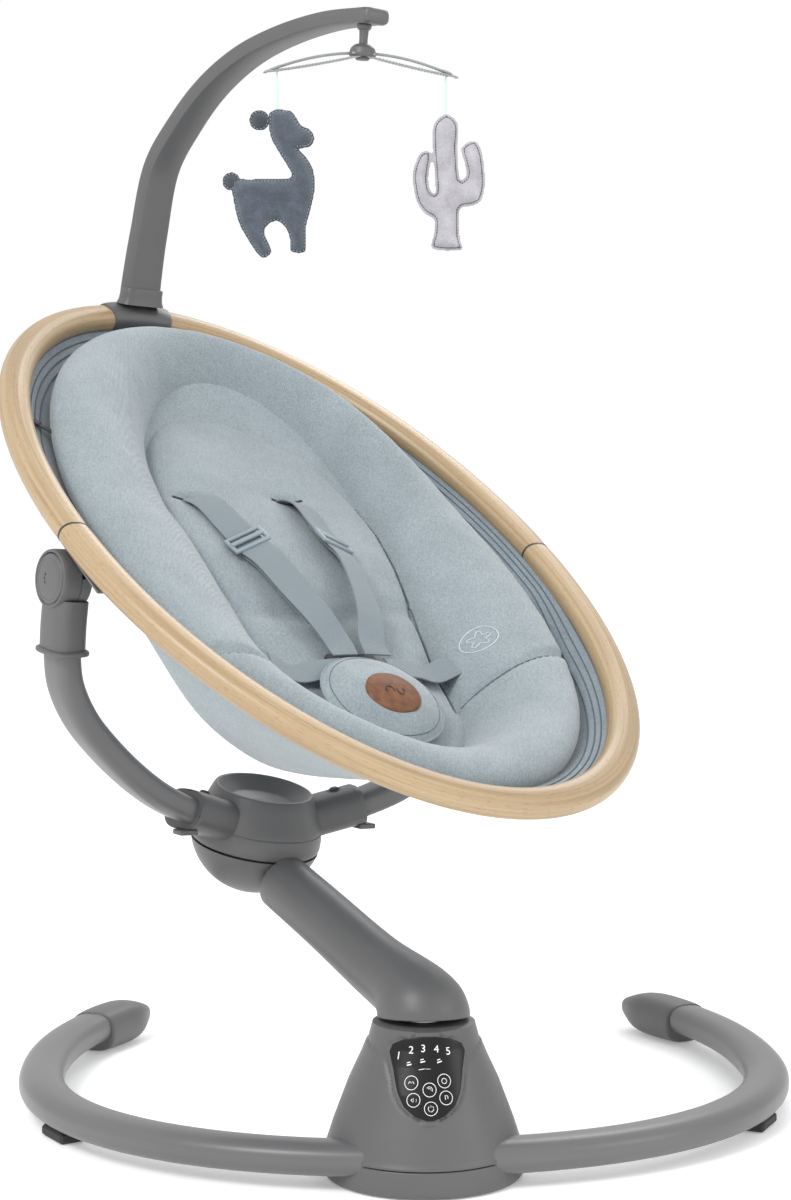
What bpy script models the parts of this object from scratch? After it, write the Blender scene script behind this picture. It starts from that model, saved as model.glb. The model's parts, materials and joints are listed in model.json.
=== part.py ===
"""Baby swing: a motor housing on an open floor ring swings a hooped seat with a toy bar.

Metres, +Z up. The origin is the centre of the housing's underside, on the floor. The front of the
base faces -Y. The seat, its stalk and the toy bar are drawn swung out to one side.
"""
import math

import bmesh
import bpy
from mathutils import Matrix, Quaternion, Vector

# ---- base ring ----
RING_CENTRE_Y = 0.220
RING_HALF_WIDTH = 0.291
RING_FRONT = 0.258
RING_BACK = 0.324
RING_POWER = 2.15
RING_Z = 0.0215
RING_TUBE = (0.036, 0.025)
RING_WALL = 0.0015
RING_START = 7.0
RING_END = 118.0
CAP_END = 133.0
FOOT_ANGLE = 66.0

# ---- motor housing ----
SEAM_Z = 0.020
GAP = 0.0003
HOUSING = ((0.0735, 0.0028), (0.0725, 0.0200), (0.0657, 0.0410), (0.0546, 0.0705),
           (0.0460, 0.0890), (0.0415, 0.1000), (0.0378, 0.1140), (0.0350, 0.1240))
WALL = 0.0028
SWING_TILT = math.radians(6.8)
PIVOT = Vector((0.0, 0.0, 0.1143))
SWING_ANGLE = math.radians(33.8)
SHAFT_RADIUS = 0.008
GEAR_MODULE = 0.0018
GEAR_TEETH = 30
PINION_TEETH = 10
GEAR_DEPTH = 0.046
# Height of each row of the control panel, and the half angle that it spans.
PANEL_ROWS = ((0.0545, 2.0), (0.0572, 10.0), (0.0635, 18.0), (0.0730, 24.0), (0.0870, 30.5),
              (0.0985, 38.0), (0.1035, 36.0), (0.1075, 25.0), (0.1095, 8.0))

# ---- hub and stalk (the seat hanging straight ahead) ----
HUB_RIM = Vector((0.0, 0.2206, 0.2525))
HUB_TILT = math.radians(11.0)
RIM_RADIUS = 0.0389
BALL_RADIUS = 0.053
BALL_DROP = 0.031
SPLIT_DROP = 0.045
STALK_RINGS = ((0.0001, 0.0008, 6.8, 0.0339), (0.0019, 0.0068, 12.0, 0.0337),
               (0.0080, 0.0132, 27.0, 0.0322), (0.0190, 0.0175, 45.0, 0.0290),
               (0.0360, 0.0215, 60.0, 0.0260), (0.0580, 0.0270, 67.0, 0.0242),
               (0.0860, 0.0360, 69.0, 0.0232), (0.1300, 0.0510, 70.0, 0.0226),
               (0.1860, 0.0690, 71.0, 0.0222))

# ---- support arms and recline hinges ----
ARM_TUBE = (0.030, 0.021)
ARM_WALL = 0.0018
SOCKET_TUBE = (0.039, 0.032)
SNAP_X = 0.066
DRUM_RADIUS = 0.0218
DRUM_FACE = 0.230
DRUM_DEPTH = 0.0245
DISC_RADIUS = 0.0185
PIN_RADIUS = 0.004
LUG_X = 0.2125
LUG_WIDTH = 0.0044
ARM_ROUTE = ((0.0540, 0.2143, 0.2323), (0.0820, 0.2080, 0.2400), (0.1130, 0.2010, 0.2530),
             (0.1420, 0.1970, 0.2710), (0.1700, 0.1930, 0.2930), (0.1920, 0.1880, 0.3140),
             (0.2080, 0.1830, 0.3380), (0.2145, 0.1795, 0.3620), (0.2160, 0.1775, 0.3820))
SLEEVE_ROUTE = ((0.2145, 0.1795, 0.3620), (0.2160, 0.1775, 0.3820), (0.2160, 0.1765, 0.4010))

# ---- seat, in its own frame: X across, Y towards the head, Z out of the seat ----
SEAT_CENTRE = Vector((0.0, 0.1758, 0.4545))
SEAT_TILT = math.radians(31.0)
HINGE_BACK = -0.019
HINGE_DROP = -0.0338
HOOP_LENGTH = 0.3277
HOOP_WIDTH = 0.2181
HOOP_TUBE = (0.025, 0.019)
SEAM_ANGLE = 91.7
BAG_DEPTH = 0.125
INSERT = (0.290, 0.181)
MIDDLE = -0.06
WEBBING = (0.024, 0.0016)
SHOULDER_ROUTE = ((0.047, 0.098), (0.046, 0.080), (0.040, 0.045), (0.033, 0.010),
                  (0.027, -0.030), (0.021, -0.062), (0.018, -0.084))
WAIST_ROUTE = ((0.026, -0.108), (0.045, -0.109), (0.064, -0.109), (0.082, -0.107))

# ---- toy bar and mobile ----
TOY_PIN = Vector((0.0, 0.151, 0.8240))
BAR_HALF = 0.0735
BAR_DROP = 0.017
BAR_ROLL = 0.0617
BAR_TURN = math.radians(-27.2)
TOY_TURN = math.radians(-3.0)
STRING_LENGTH = 0.029
STRING_RADIUS = 0.0007
ARCH = ((0.4490, 0.6390), (0.4455, 0.6660), (0.4400, 0.6960), (0.4270, 0.7480), (0.3950, 0.7830),
        (0.3555, 0.8120), (0.3075, 0.8330), (0.2540, 0.8450), (0.1940, 0.8510), (0.1375, 0.8500))
# Toy outlines, right and up from the foot of the string, on a grid of about a millimetre.
LLAMA = ((-7, -4), (-2, 0), (5, 0), (11, -1), (15, -5), (20, -13), (27, -16), (31, -23), (28, -30),
         (21, -32), (17, -32), (23, -38), (29, -47), (31, -56), (31, -67), (27, -85), (24, -96),
         (23, -117), (11, -117), (10, -107), (7, -98), (0, -92), (-8, -95), (-11, -102), (-5, -117),
         (-14, -122), (-28, -102), (-34, -88), (-38, -68), (-45, -64), (-47, -57), (-42, -51),
         (-35, -51), (-31, -57), (-11, -57), (11, -56), (8, -46), (1, -35), (-5, -24), (-7, -15),
         (-14, -16), (-22, -13), (-24, -7), (-21, -1), (-13, 0))
CACTUS = ((0, 0), (-7, -5), (-10, -12), (-10, -28), (-9, -42), (-8, -64), (-12, -61), (-13, -51),
          (-11, -33), (-16, -30), (-21, -34), (-25, -46), (-25, -58), (-22, -72), (-16, -81),
          (-9, -86), (-9, -97), (-10, -110), (12, -111), (11, -100), (11, -78), (20, -75),
          (27, -71), (30, -60), (30, -48), (28, -32), (24, -23), (19, -22), (13, -26), (12, -31),
          (16, -48), (11, -53), (9, -28), (10, -12), (7, -4))
TOY_THICKNESS = 0.012

COLOURS = {
    "grey plastic": ((0.085, 0.085, 0.088), 0.45, 0.0),
    "dark plastic": ((0.035, 0.035, 0.037), 0.50, 0.0),
    "grey metal": ((0.090, 0.090, 0.093), 0.38, 0.0),
    "steel": ((0.55, 0.55, 0.56), 0.30, 1.0),
    "black glass": ((0.010, 0.010, 0.011), 0.12, 0.0),
    "circuit board": ((0.020, 0.110, 0.045), 0.55, 0.0),
    "beech": ((0.620, 0.440, 0.270), 0.40, 0.0),
    "pale fabric": ((0.410, 0.480, 0.520), 0.90, 0.0),
    "webbing": ((0.400, 0.430, 0.450), 0.80, 0.0),
    "slate felt": ((0.045, 0.055, 0.075), 0.95, 0.0),
    "grey felt": ((0.380, 0.370, 0.400), 0.95, 0.0),
    "leather": ((0.150, 0.052, 0.018), 0.60, 0.0),
    "mint cord": ((0.600, 0.720, 0.680), 0.80, 0.0),
}


# ---------------------------------------------------------------- helpers
def clear_scene():
    for ob in list(bpy.data.objects):
        bpy.data.objects.remove(ob, do_unlink=True)
    parts = bpy.data.collections.new("baby_swing")
    cutters = bpy.data.collections.new("cutters")
    for group in (parts, cutters):
        bpy.context.scene.collection.children.link(group)
    return parts, cutters


PARTS, CUTTERS = clear_scene()


def material(name):
    found = bpy.data.materials.get(name)
    if found:
        return found
    colour, roughness, metallic = COLOURS[name]
    made = bpy.data.materials.new(name)
    made.use_nodes = True
    shader = made.node_tree.nodes["Principled BSDF"]
    shader.inputs["Base Color"].default_value = (*colour, 1.0)
    shader.inputs["Roughness"].default_value = roughness
    shader.inputs["Metallic"].default_value = metallic
    return made


def link(ob, colour=None, parent=None, location=(0, 0, 0), rotation=(0, 0, 0)):
    """Give an object its place; without a colour it is a cutter."""
    (PARTS if colour else CUTTERS).objects.link(ob)
    if colour:
        ob.data.materials.clear()
        ob.data.materials.append(material(colour))
    else:
        ob.hide_render = True
        ob.display_type = "WIRE"
    ob.parent = parent
    ob.location = location
    ob.rotation_euler = rotation
    return ob


def empty(name, location, rotation=None, parent=None):
    ob = bpy.data.objects.new(name, None)
    PARTS.objects.link(ob)
    ob.parent = parent
    ob.location = location
    ob.rotation_mode = "QUATERNION"
    ob.rotation_quaternion = rotation or Quaternion()
    return ob


def mesh_object(name, bm):
    mesh = bpy.data.meshes.new(name)
    bmesh.ops.recalc_face_normals(bm, faces=bm.faces)
    bm.to_mesh(mesh)
    bm.free()
    return bpy.data.objects.new(name, mesh)


def turned(name, profile, steps=24):
    """Turn (radius, height) points about Z; they run top to bottom on the outer side."""
    closed = profile[0] == profile[-1]
    points = profile[:-1] if closed else profile
    bm = bmesh.new()
    verts = [bm.verts.new((r, 0, z)) for r, z in points]
    pairs = list(zip(verts, verts[1:]))
    if closed:
        pairs.append((verts[-1], verts[0]))
    for pair in pairs:
        bm.edges.new(pair)
    mesh = bpy.data.meshes.new(name)
    bm.to_mesh(mesh)
    bm.free()
    ob = bpy.data.objects.new(name, mesh)
    screw = ob.modifiers.new("Turn", "SCREW")
    screw.steps = steps
    screw.render_steps = steps
    screw.use_merge_vertices = True
    screw.merge_threshold = 0.00001
    return ob


def oval(width, height, count=10, power=2.4):
    """Points of a flat-sided oval."""
    points = []
    for i in range(count):
        a = 2 * math.pi * (i + 0.5) / count
        c = math.copysign(abs(math.cos(a)) ** (2 / power), math.cos(a))
        s = math.copysign(abs(math.sin(a)) ** (2 / power), math.sin(a))
        points.append((width / 2 * c, height / 2 * s))
    return points


def curve_data(name, points, cyclic=False, radii=None):
    data = bpy.data.curves.new(name, "CURVE")
    data.dimensions = "3D"
    data.resolution_u = 1
    data.render_resolution_u = 0
    spline = data.splines.new("POLY")
    spline.points.add(len(points) - 1)
    for i, point in enumerate(points):
        x, y, z = point if len(point) == 3 else (*point, 0.0)
        spline.points[i].co = (x, y, z, 1.0)
        spline.points[i].radius = radii[i] if radii else 1.0
    spline.use_cyclic_u = cyclic
    return data


def meshed(curve_ob, name):
    """Turn a curve object into a mesh object with welded caps."""
    bpy.context.view_layer.update()
    deps = bpy.context.evaluated_depsgraph_get()
    mesh = bpy.data.meshes.new_from_object(curve_ob.evaluated_get(deps))
    mesh.name = name
    bpy.data.objects.remove(curve_ob, do_unlink=True)
    bm = bmesh.new()
    bm.from_mesh(mesh)
    bmesh.ops.remove_doubles(bm, verts=bm.verts, dist=0.000001)
    bmesh.ops.recalc_face_normals(bm, faces=bm.faces)
    bm.to_mesh(mesh)
    bm.free()
    return bpy.data.objects.new(name, mesh)


def sweep(name, points, section, radii=None, caps=True):
    """Carry a flat section along a path; the section's Y stays towards +Z."""
    outline = bpy.data.objects.new("section", curve_data("section", section, cyclic=True))
    bpy.context.scene.collection.objects.link(outline)
    data = curve_data(name, points, radii=radii)
    data.bevel_mode = "OBJECT"
    data.bevel_object = outline
    data.use_fill_caps = caps
    data.twist_mode = "Z_UP"
    path = bpy.data.objects.new("path", data)
    bpy.context.scene.collection.objects.link(path)
    ob = meshed(path, name)
    bpy.data.objects.remove(outline, do_unlink=True)
    return ob


def rod(name, points, radius, sides=2, radii=None):
    """A round bar along a path."""
    data = curve_data(name, points, radii=radii)
    data.bevel_depth = radius
    data.bevel_resolution = sides
    data.use_fill_caps = True
    path = bpy.data.objects.new("path", data)
    bpy.context.scene.collection.objects.link(path)
    return meshed(path, name)


def loft(name, rings):
    """Join rings of points, which need not be alike, into a closed body."""
    bm = bmesh.new()
    rows = [[bm.verts.new(p) for p in ring] for ring in rings]
    for low, high in zip(rows, rows[1:]):
        for i in range(len(low)):
            j = (i + 1) % len(low)
            bm.faces.new((low[i], low[j], high[j], high[i]))
    bm.faces.new(rows[0])
    bm.faces.new(rows[-1])
    return mesh_object(name, bm)


def plate(name, outline, thickness):
    """A flat outline in XY, centred in Z on its own plane."""
    data = curve_data(name, outline, cyclic=True)
    data.dimensions = "2D"
    data.fill_mode = "BOTH"
    data.extrude = thickness / 2
    path = bpy.data.objects.new("path", data)
    bpy.context.scene.collection.objects.link(path)
    return meshed(path, name)


def block(name, size, bevel=0.0, segments=1):
    bm = bmesh.new()
    bmesh.ops.create_cube(bm, size=1.0)
    bmesh.ops.scale(bm, vec=size, verts=bm.verts)
    if bevel:
        bmesh.ops.bevel(bm, geom=bm.edges[:], offset=bevel, segments=segments, affect="EDGES")
    return mesh_object(name, bm)


def shell_up(ob, thickness):
    """Give an open tube its wall, inwards."""
    wall = ob.modifiers.new("Wall", "SOLIDIFY")
    wall.thickness = thickness
    wall.offset = -1.0
    return ob


def boolean(ob, other, operation="DIFFERENCE"):
    step = ob.modifiers.new("Cut" if operation == "DIFFERENCE" else "Join", "BOOLEAN")
    step.operation = operation
    step.solver = "EXACT"
    step.object = other
    return ob


def smooth_path(points, steps=4):
    """Points of a Catmull-Rom curve through the given points."""
    points = [Vector(p) for p in points]
    padded = [2 * points[0] - points[1]] + points + [2 * points[-1] - points[-2]]
    out = []
    for a, b, c, d in zip(padded, padded[1:], padded[2:], padded[3:]):
        for i in range(steps):
            t = i / steps
            out.append(0.5 * (2 * b + (c - a) * t + (2 * a - 5 * b + 4 * c - d) * t ** 2
                              + (3 * b - a - 3 * c + d) * t ** 3))
    return [tuple(p) for p in out] + [tuple(points[-1])]


SIDES = (("left", -1), ("right", 1))


# ---------------------------------------------------------------- base
def ring_point(angle, side, z=RING_Z):
    """A point of the ring's centreline; 0 degrees is the front."""
    a = math.radians(angle)
    reach = RING_FRONT if math.cos(a) > 0 else RING_BACK
    x = RING_HALF_WIDTH * abs(math.sin(a)) ** (2 / RING_POWER)
    y = RING_CENTRE_Y - math.copysign(reach * abs(math.cos(a)) ** (2 / RING_POWER), math.cos(a))
    return (side * x, y, z)


def ring_path(start, end, side, count, z=RING_Z):
    return [ring_point(start + (end - start) * i / (count - 1), side, z) for i in range(count)]


def base_ring():
    for name, side in SIDES:
        path = ring_path(RING_START, RING_END, side, 15)
        tube = sweep(f"base_ring_{name}", path, oval(*RING_TUBE), caps=False)
        link(shell_up(tube, RING_WALL), "grey metal")
        onward = (Vector(path[-1]) - Vector(path[-2])).normalized()
        end = [tuple(Vector(path[-1]) + onward * step) for step in (0.0004, 0.0040)]
        end += ring_path(RING_END + 3.0, CAP_END, side, 6)
        swell = [1.0, 1.08, 1.15, 1.17, 1.14, 1.04, 0.82, 0.42]
        section = [(x, y - 0.003) for x, y in oval(0.036, 0.030)]
        link(sweep(f"ring_cap_{name}", end, section, radii=swell), "grey plastic")
        foot = block(f"ring_foot_{name}", (0.022, 0.036, RING_Z - RING_TUBE[1] / 2 - GAP), 0.002)
        place = Vector(ring_point(FOOT_ANGLE, side)) * Vector((1, 1, 0))
        place.z = (RING_Z - RING_TUBE[1] / 2 - GAP) / 2
        link(foot, "dark plastic", location=place, rotation=(0, 0, -side * math.radians(28)))


def housing_radius(z):
    for (r0, z0), (r1, z1) in zip(HOUSING, HOUSING[1:]):
        if z <= z1:
            return r0 + (r1 - r0) * max(0.0, (z - z0) / (z1 - z0))
    return HOUSING[-1][0]


def housing(axis):
    """The cone over the gear, its floor dish and what is fitted to them."""
    outer = [(0.0, HOUSING[-1][1])] + [(r, z) for r, z in reversed(HOUSING[2:])]
    outer += [(housing_radius(SEAM_Z), SEAM_Z + GAP), (0.0, SEAM_Z + GAP)]
    shell = link(turned("housing_shell", outer, 32), "grey plastic")
    roof = 0.1045
    inner = [(0.0, roof), (housing_radius(roof) - 2 * WALL, roof)]
    inner += [(r - WALL, z) for r, z in reversed(HOUSING[2:5])]
    inner += [(housing_radius(SEAM_Z) - WALL, SEAM_Z), (housing_radius(SEAM_Z) - WALL, 0.0)]
    inner.append((0.0, 0.0))
    boolean(shell, link(turned("cut_cavity", inner, 32)))
    trim = block("cut_top", (0.2, 0.2, 0.06))
    boolean(shell, link(trim, parent=axis, location=(0, 0, 0.03)))
    bore = [(0.0, 0.02), (0.0133, 0.02), (0.0133, -0.03), (0.0, -0.03)]
    boolean(shell, link(turned("cut_bore", bore, 24), parent=axis))
    floor = [(0.0, 0.004), (0.0680, 0.004), (0.0692, SEAM_Z), (0.0725, SEAM_Z),
             (0.0735, 0.0028), (0.0710, 0.0), (0.0, 0.0)]
    dish = link(turned("housing_base", floor, 32), "grey plastic")
    clearance = 4 * GAP
    for name, side in SIDES:
        path = ring_path(RING_START, RING_END, side, 15)[:3]
        path[0] = tuple(Vector(path[0]) + (Vector(path[0]) - Vector(path[1])) * 0.05)
        section = oval(RING_TUBE[0] + clearance, RING_TUBE[1] + clearance)
        cutter = link(sweep(f"cut_tube_{name}", path, section))
        boolean(shell, cutter)
        boolean(dish, cutter)
    jack = rod("power_inlet", [(0, 0.0445, 0.030), (0, 0.0695, 0.030)], 0.0045)
    link(jack, "dark plastic")
    hole = rod("cut_inlet", [(0, 0.050, 0.030), (0, 0.090, 0.030)], 0.0045 + GAP)
    boolean(shell, link(hole))
    board = block("circuit_board", (0.044, 0.036, 0.0016))
    link(board, "circuit board", location=(0.016, 0.026, 0.0052))
    cone = [(0.0, 0.0085), (0.014, 0.0085), (0.018, 0.0), (0.0, 0.0)]
    link(turned("speaker", cone, 16), "dark plastic", location=(-0.030, 0.028, 0.0045))


def control_panel():
    """A shield-shaped touch plate bent round the front of the cone."""
    bm = bmesh.new()
    bmesh.ops.create_grid(bm, x_segments=8, y_segments=len(PANEL_ROWS) - 1, size=1.0)
    rows = sorted({round(v.co.y, 4) for v in bm.verts})
    for v in bm.verts:
        z, half = PANEL_ROWS[rows.index(round(v.co.y, 4))]
        angle = math.radians(half * v.co.x)
        reach = (housing_radius(z) + 0.0019) / math.cos(math.pi / 32)
        v.co = (reach * math.sin(angle), -reach * math.cos(angle), z)
    bmesh.ops.recalc_face_normals(bm, faces=bm.faces)
    ob = mesh_object("control_panel", bm)
    wall = ob.modifiers.new("Thickness", "SOLIDIFY")
    wall.thickness = 0.0011
    wall.offset = -1.0
    link(ob, "black glass")


def involute_gear(name, teeth, bore, thickness, turn=0.0):
    """A spur gear outline with play between its teeth, drawn as a plate with a bore."""
    pitch = GEAR_MODULE * teeth / 2
    base = pitch * math.cos(math.radians(20))
    tip = pitch + 0.85 * GEAR_MODULE
    root = pitch - 1.15 * GEAR_MODULE

    def spread(radius):
        return math.tan(math.acos(min(1.0, base / radius))) - math.acos(min(1.0, base / radius))

    half = math.pi / (2 * teeth) + spread(pitch) - 0.00018 / pitch
    flank = [root, max(base, root + 0.0001), (max(base, root) + tip) / 2, tip]
    outline = []
    for i in range(teeth):
        middle = turn + 2 * math.pi * i / teeth
        for sign, radii in ((-1, flank), (1, flank[::-1])):
            for radius in radii:
                a = middle + sign * (half - spread(max(radius, base)))
                outline.append((radius * math.cos(a), radius * math.sin(a)))
    ob = plate(name, outline, thickness)
    hole = [(0.0, 0.03), (bore, 0.03), (bore, -0.03), (0.0, -0.03)]
    return ob, turned(f"cut_{name}", hole, 16)


def drive(axis, swing):
    """Motor, pinion, gear, shaft and the two bushes it turns in."""
    reach = GEAR_MODULE * (GEAR_TEETH + PINION_TEETH) / 2
    bottom = -0.0925
    shaft = [(0.0, 0.011), (SHAFT_RADIUS, 0.011), (SHAFT_RADIUS, bottom + 0.004),
             (SHAFT_RADIUS - 0.001, bottom), (0.0, bottom)]
    link(turned("swing_shaft", shaft, 16), "steel", swing)
    facing = math.pi / 2 - SWING_ANGLE
    gear, bore = involute_gear("swing_gear", GEAR_TEETH, SHAFT_RADIUS + GAP, 0.008, facing)
    boolean(gear, link(bore, None, swing, (0, 0, -GEAR_DEPTH)))
    link(gear, "dark plastic", swing, (0, 0, -GEAR_DEPTH))
    for name, top, low in (("upper", -0.0005, -0.0135), ("lower", bottom + 0.010, bottom + 0.001)):
        r0, r1 = SHAFT_RADIUS + GAP, 0.0130
        ring = [(r0, top), (r1, top), (r1, low), (r0, low), (r0, top)]
        link(turned(f"bearing_{name}", ring, 24), "steel", axis)
    meshing = math.pi + math.pi / PINION_TEETH
    pinion, bore = involute_gear("motor_pinion", PINION_TEETH, 0.0023, 0.008, meshing)
    pinion_axis = empty("pinion_axis", (0, reach, -GEAR_DEPTH), None, axis)
    pinion_axis.rotation_quaternion = Quaternion((0, 0, 1), math.radians(90))
    boolean(pinion, link(bore, parent=pinion_axis))
    link(pinion, "steel", pinion_axis)
    can = [(0.0, 0.010), (0.0020, 0.010), (0.0020, -0.0045), (0.0125, -0.0045),
           (0.0125, -0.0325), (0.0, -0.0325)]
    link(turned("gear_motor", can, 16), "steel", axis, (0, reach, -GEAR_DEPTH))


# ---------------------------------------------------------------- stalk and hub
def stalk_and_hub(swing, shaft_axis):
    hub = empty("hub_frame", HUB_RIM - PIVOT, Quaternion((1, 0, 0), HUB_TILT), swing)
    rings = []
    for y, z, lean, radius in STALK_RINGS:
        lean = math.radians(lean)
        across = Vector((0, math.cos(lean), -math.sin(lean))) * radius
        turn = [2 * math.pi * i / 20 for i in range(20)]
        rings.append([Vector((0, y, z)) + across * math.cos(a) + Vector((radius, 0, 0)) * math.sin(a)
                      for a in turn])
    tube = loft("stalk", rings)
    split = math.sqrt(BALL_RADIUS ** 2 - (SPLIT_DROP - BALL_DROP) ** 2)
    low = [(0.0, -SPLIT_DROP + 0.008), (split, -SPLIT_DROP + 0.008)]
    start = math.asin((SPLIT_DROP - BALL_DROP) / BALL_RADIUS)
    for i in range(7):
        a = start + (math.pi / 2 - start) * i / 6
        low.append((max(0.0, BALL_RADIUS * math.cos(a)), -BALL_DROP - BALL_RADIUS * math.sin(a)))
    low[-1] = (0.0, low[-1][1])
    bowl = link(turned("join_bowl", low, 28), parent=hub)
    link(tube, "grey plastic", swing)
    boolean(tube, bowl, "UNION")
    over = [(0.0, -SPLIT_DROP + 0.04), (split + 0.02, -SPLIT_DROP + 0.04),
            (split + 0.02, -SPLIT_DROP), (0.0, -SPLIT_DROP)]
    top = link(turned("cut_split", over, 24), parent=hub)
    hollow = [(0.0, -SPLIT_DROP + 0.01), (split * 0.93, -SPLIT_DROP + 0.01)]
    hollow += [(r * 0.93, -BALL_DROP + (z + BALL_DROP) * 0.80) for r, z in low[3:-1]]
    hollow.append((0.0, -BALL_DROP - BALL_RADIUS * 0.80))
    boolean(tube, link(turned("cut_bowl", hollow, 24), parent=hub))
    boolean(tube, top)
    bore = [(0.0, 0.0115), (SHAFT_RADIUS + GAP, 0.0115), (SHAFT_RADIUS + GAP, -0.02), (0.0, -0.02)]
    boolean(tube, link(turned("cut_shaft", bore, 16), parent=shaft_axis))

    edge = -SPLIT_DROP + GAP
    body = [(RIM_RADIUS, 0.0), (0.0412, -0.004), (0.0445, -0.013), (0.0485, -0.022),
            (0.0512, -0.031), (split + 0.0002, edge), (0.0475, edge), (0.0475, -0.032),
            (0.0400, -0.018), (0.0362, -0.010), (0.0362, 0.0), (RIM_RADIUS, 0.0)]
    centre = link(turned("hub_body", body, 28), "grey plastic", hub)
    dish = [(0.0, -0.0125), (0.0120, -0.0120), (0.0240, -0.0095), (0.0330, -0.0030),
            (0.0357, -0.0010), (0.0357, -0.0105), (0.0290, -0.0145), (0.0, -0.0165)]
    link(turned("hub_dish", dish, 28), "grey plastic", hub)
    for name, side in SIDES:
        inner = Vector((side * 0.040, 0.2175, 0.2285)) - PIVOT
        mouth = Vector((side * 0.082, 0.2080, 0.2400)) - PIVOT
        step = (mouth - inner).normalized()
        axis = sideways(swing, name)
        stub = sweep(f"join_socket_{name}", turned_points((inner, mouth)),
                     oval(SOCKET_TUBE[1], SOCKET_TUBE[0]))
        boolean(centre, link(stub, parent=axis), "UNION")
        hole = sweep(f"cut_socket_{name}", turned_points((inner + step * 0.010, mouth + step * 0.02)),
                     oval(ARM_TUBE[1] + 2 * GAP, ARM_TUBE[0] + 2 * GAP))
        boolean(centre, link(hole, parent=axis))


FRAMES = {}


def sideways(swing, name):
    """A frame whose Z lies along the seat's length, so that a swept tube keeps its broad face."""
    if name not in FRAMES:
        FRAMES[name] = empty(f"arm_frame_{name}", (0, 0, 0), Quaternion((1, 0, 0), math.pi / 2), swing)
    return FRAMES[name]


def turned_points(points):
    """Write points of the swing frame in the arm frame."""
    return [(p[0], p[2], -p[1]) for p in points]


def hinge_point():
    """The recline axis, in the frame of the seat hanging straight ahead."""
    lean = Matrix.Rotation(SEAT_TILT, 3, "X")
    return SEAT_CENTRE + lean @ Vector((0.0, HINGE_BACK, HINGE_DROP))


def arms(swing):
    hinge = hinge_point() - PIVOT
    for name, side in SIDES:
        axis = sideways(swing, name)
        route = [Vector((side * x, y, z)) - PIVOT for x, y, z in smooth_path(ARM_ROUTE, 2)]
        tube = sweep(f"support_arm_{name}", turned_points(route), oval(ARM_TUBE[1], ARM_TUBE[0]),
                     caps=False)
        link(shell_up(tube, ARM_WALL), "grey metal", axis)
        sleeve = [Vector((side * x, y, z)) - PIVOT for x, y, z in smooth_path(SLEEVE_ROUTE, 2)]
        wide, deep = ARM_TUBE[1] + 0.006, ARM_TUBE[0] + 0.006
        drum = [(0.0, DRUM_DEPTH / 2), (DRUM_RADIUS - 0.001, DRUM_DEPTH / 2),
                (DRUM_RADIUS, DRUM_DEPTH / 2 - 0.001), (DRUM_RADIUS, -DRUM_DEPTH / 2),
                (0.0, -DRUM_DEPTH / 2)]
        place = Vector((side * (DRUM_FACE - DRUM_DEPTH / 2), hinge.y, hinge.z))
        turn = (0, side * math.pi / 2, 0)
        body = link(turned(f"hinge_housing_{name}", drum, 28), "grey plastic", swing, place, turn)
        stem = sweep(f"join_sleeve_{name}", turned_points(sleeve), oval(wide, deep))
        boolean(body, link(stem, parent=axis), "UNION")
        low = sleeve[0]
        lift = (sleeve[1] - sleeve[0]).normalized()
        ring = sweep(f"join_flange_{name}", turned_points((low - lift * 0.0002, low + lift * 0.003)),
                     oval(wide + 0.005, deep + 0.005))
        boolean(body, link(ring, parent=axis), "UNION")
        route = [route[-6] - lift * 0.004] + route[-5:]
        hole = sweep(f"cut_sleeve_{name}", turned_points(route + [route[-1] + lift * 0.0010]),
                     oval(ARM_TUBE[1] + 2 * GAP, ARM_TUBE[0] + 2 * GAP))
        boolean(body, link(hole, parent=axis))
        well = [(0.0, 0.02), (DISC_RADIUS + GAP, 0.02), (DISC_RADIUS + GAP, -0.0065), (0.0, -0.0065)]
        face = Vector((side * DRUM_FACE, hinge.y, hinge.z))
        boolean(body, link(turned(f"cut_disc_{name}", well, 28), None, swing, face, turn))
        core = [(0.0, 0.02), (PIN_RADIUS + GAP, 0.02), (PIN_RADIUS + GAP, -0.05), (0.0, -0.05)]
        boolean(body, link(turned(f"cut_pin_{name}", core, 16), None, swing, face, turn))
        slot = block(f"cut_slot_{name}", (LUG_WIDTH + 0.0008, 0.030, 0.040))
        rise = Matrix.Rotation(SEAT_TILT, 3, "X") @ Vector((0, 0, 0.0068))
        lug_place = Vector((side * LUG_X, hinge.y, hinge.z)) + rise
        boolean(body, link(slot, None, swing, lug_place, (SEAT_TILT, 0, 0)))
        pin = [(0.0, 0.0), (PIN_RADIUS, 0.0), (PIN_RADIUS, -0.0170), (0.0, -0.0170)]
        pin_place = Vector((side * (DRUM_FACE - 0.0070), hinge.y, hinge.z))
        link(turned(f"hinge_pin_{name}", pin, 16), "steel", swing, pin_place, turn)
        disc = [(0.0, 0.0016), (0.0120, 0.0013), (DISC_RADIUS - 0.001, 0.0005),
                (DISC_RADIUS, -0.0003), (DISC_RADIUS, -0.0030), (0.0, -0.0030)]
        link(turned(f"recline_button_{name}", disc, 28), "grey plastic", swing, face, turn)
        snap(swing, name, side, tube)


def snap(swing, name, side, tube):
    """The sprung button that locks an arm into the hub."""
    top = Vector((side * SNAP_X, 0.2115, 0.2356)) - PIVOT
    lean = (0, -side * math.radians(15), 0)
    stud = [(0.0, 0.0185), (0.0030, 0.0180), (0.0042, 0.0168), (0.0042, 0.0060), (0.0, 0.0060)]
    link(turned(f"snap_button_{name}", stud, 12), "dark plastic", swing, top, lean)
    well = [(0.0, 0.03), (0.0042 + GAP, 0.03), (0.0042 + GAP, 0.0), (0.0, 0.0)]
    cutter = link(turned(f"cut_snap_{name}", well, 12), None, swing, top, lean)
    boolean(tube, cutter)
    boolean(bpy.data.objects["hub_body"], cutter)


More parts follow.
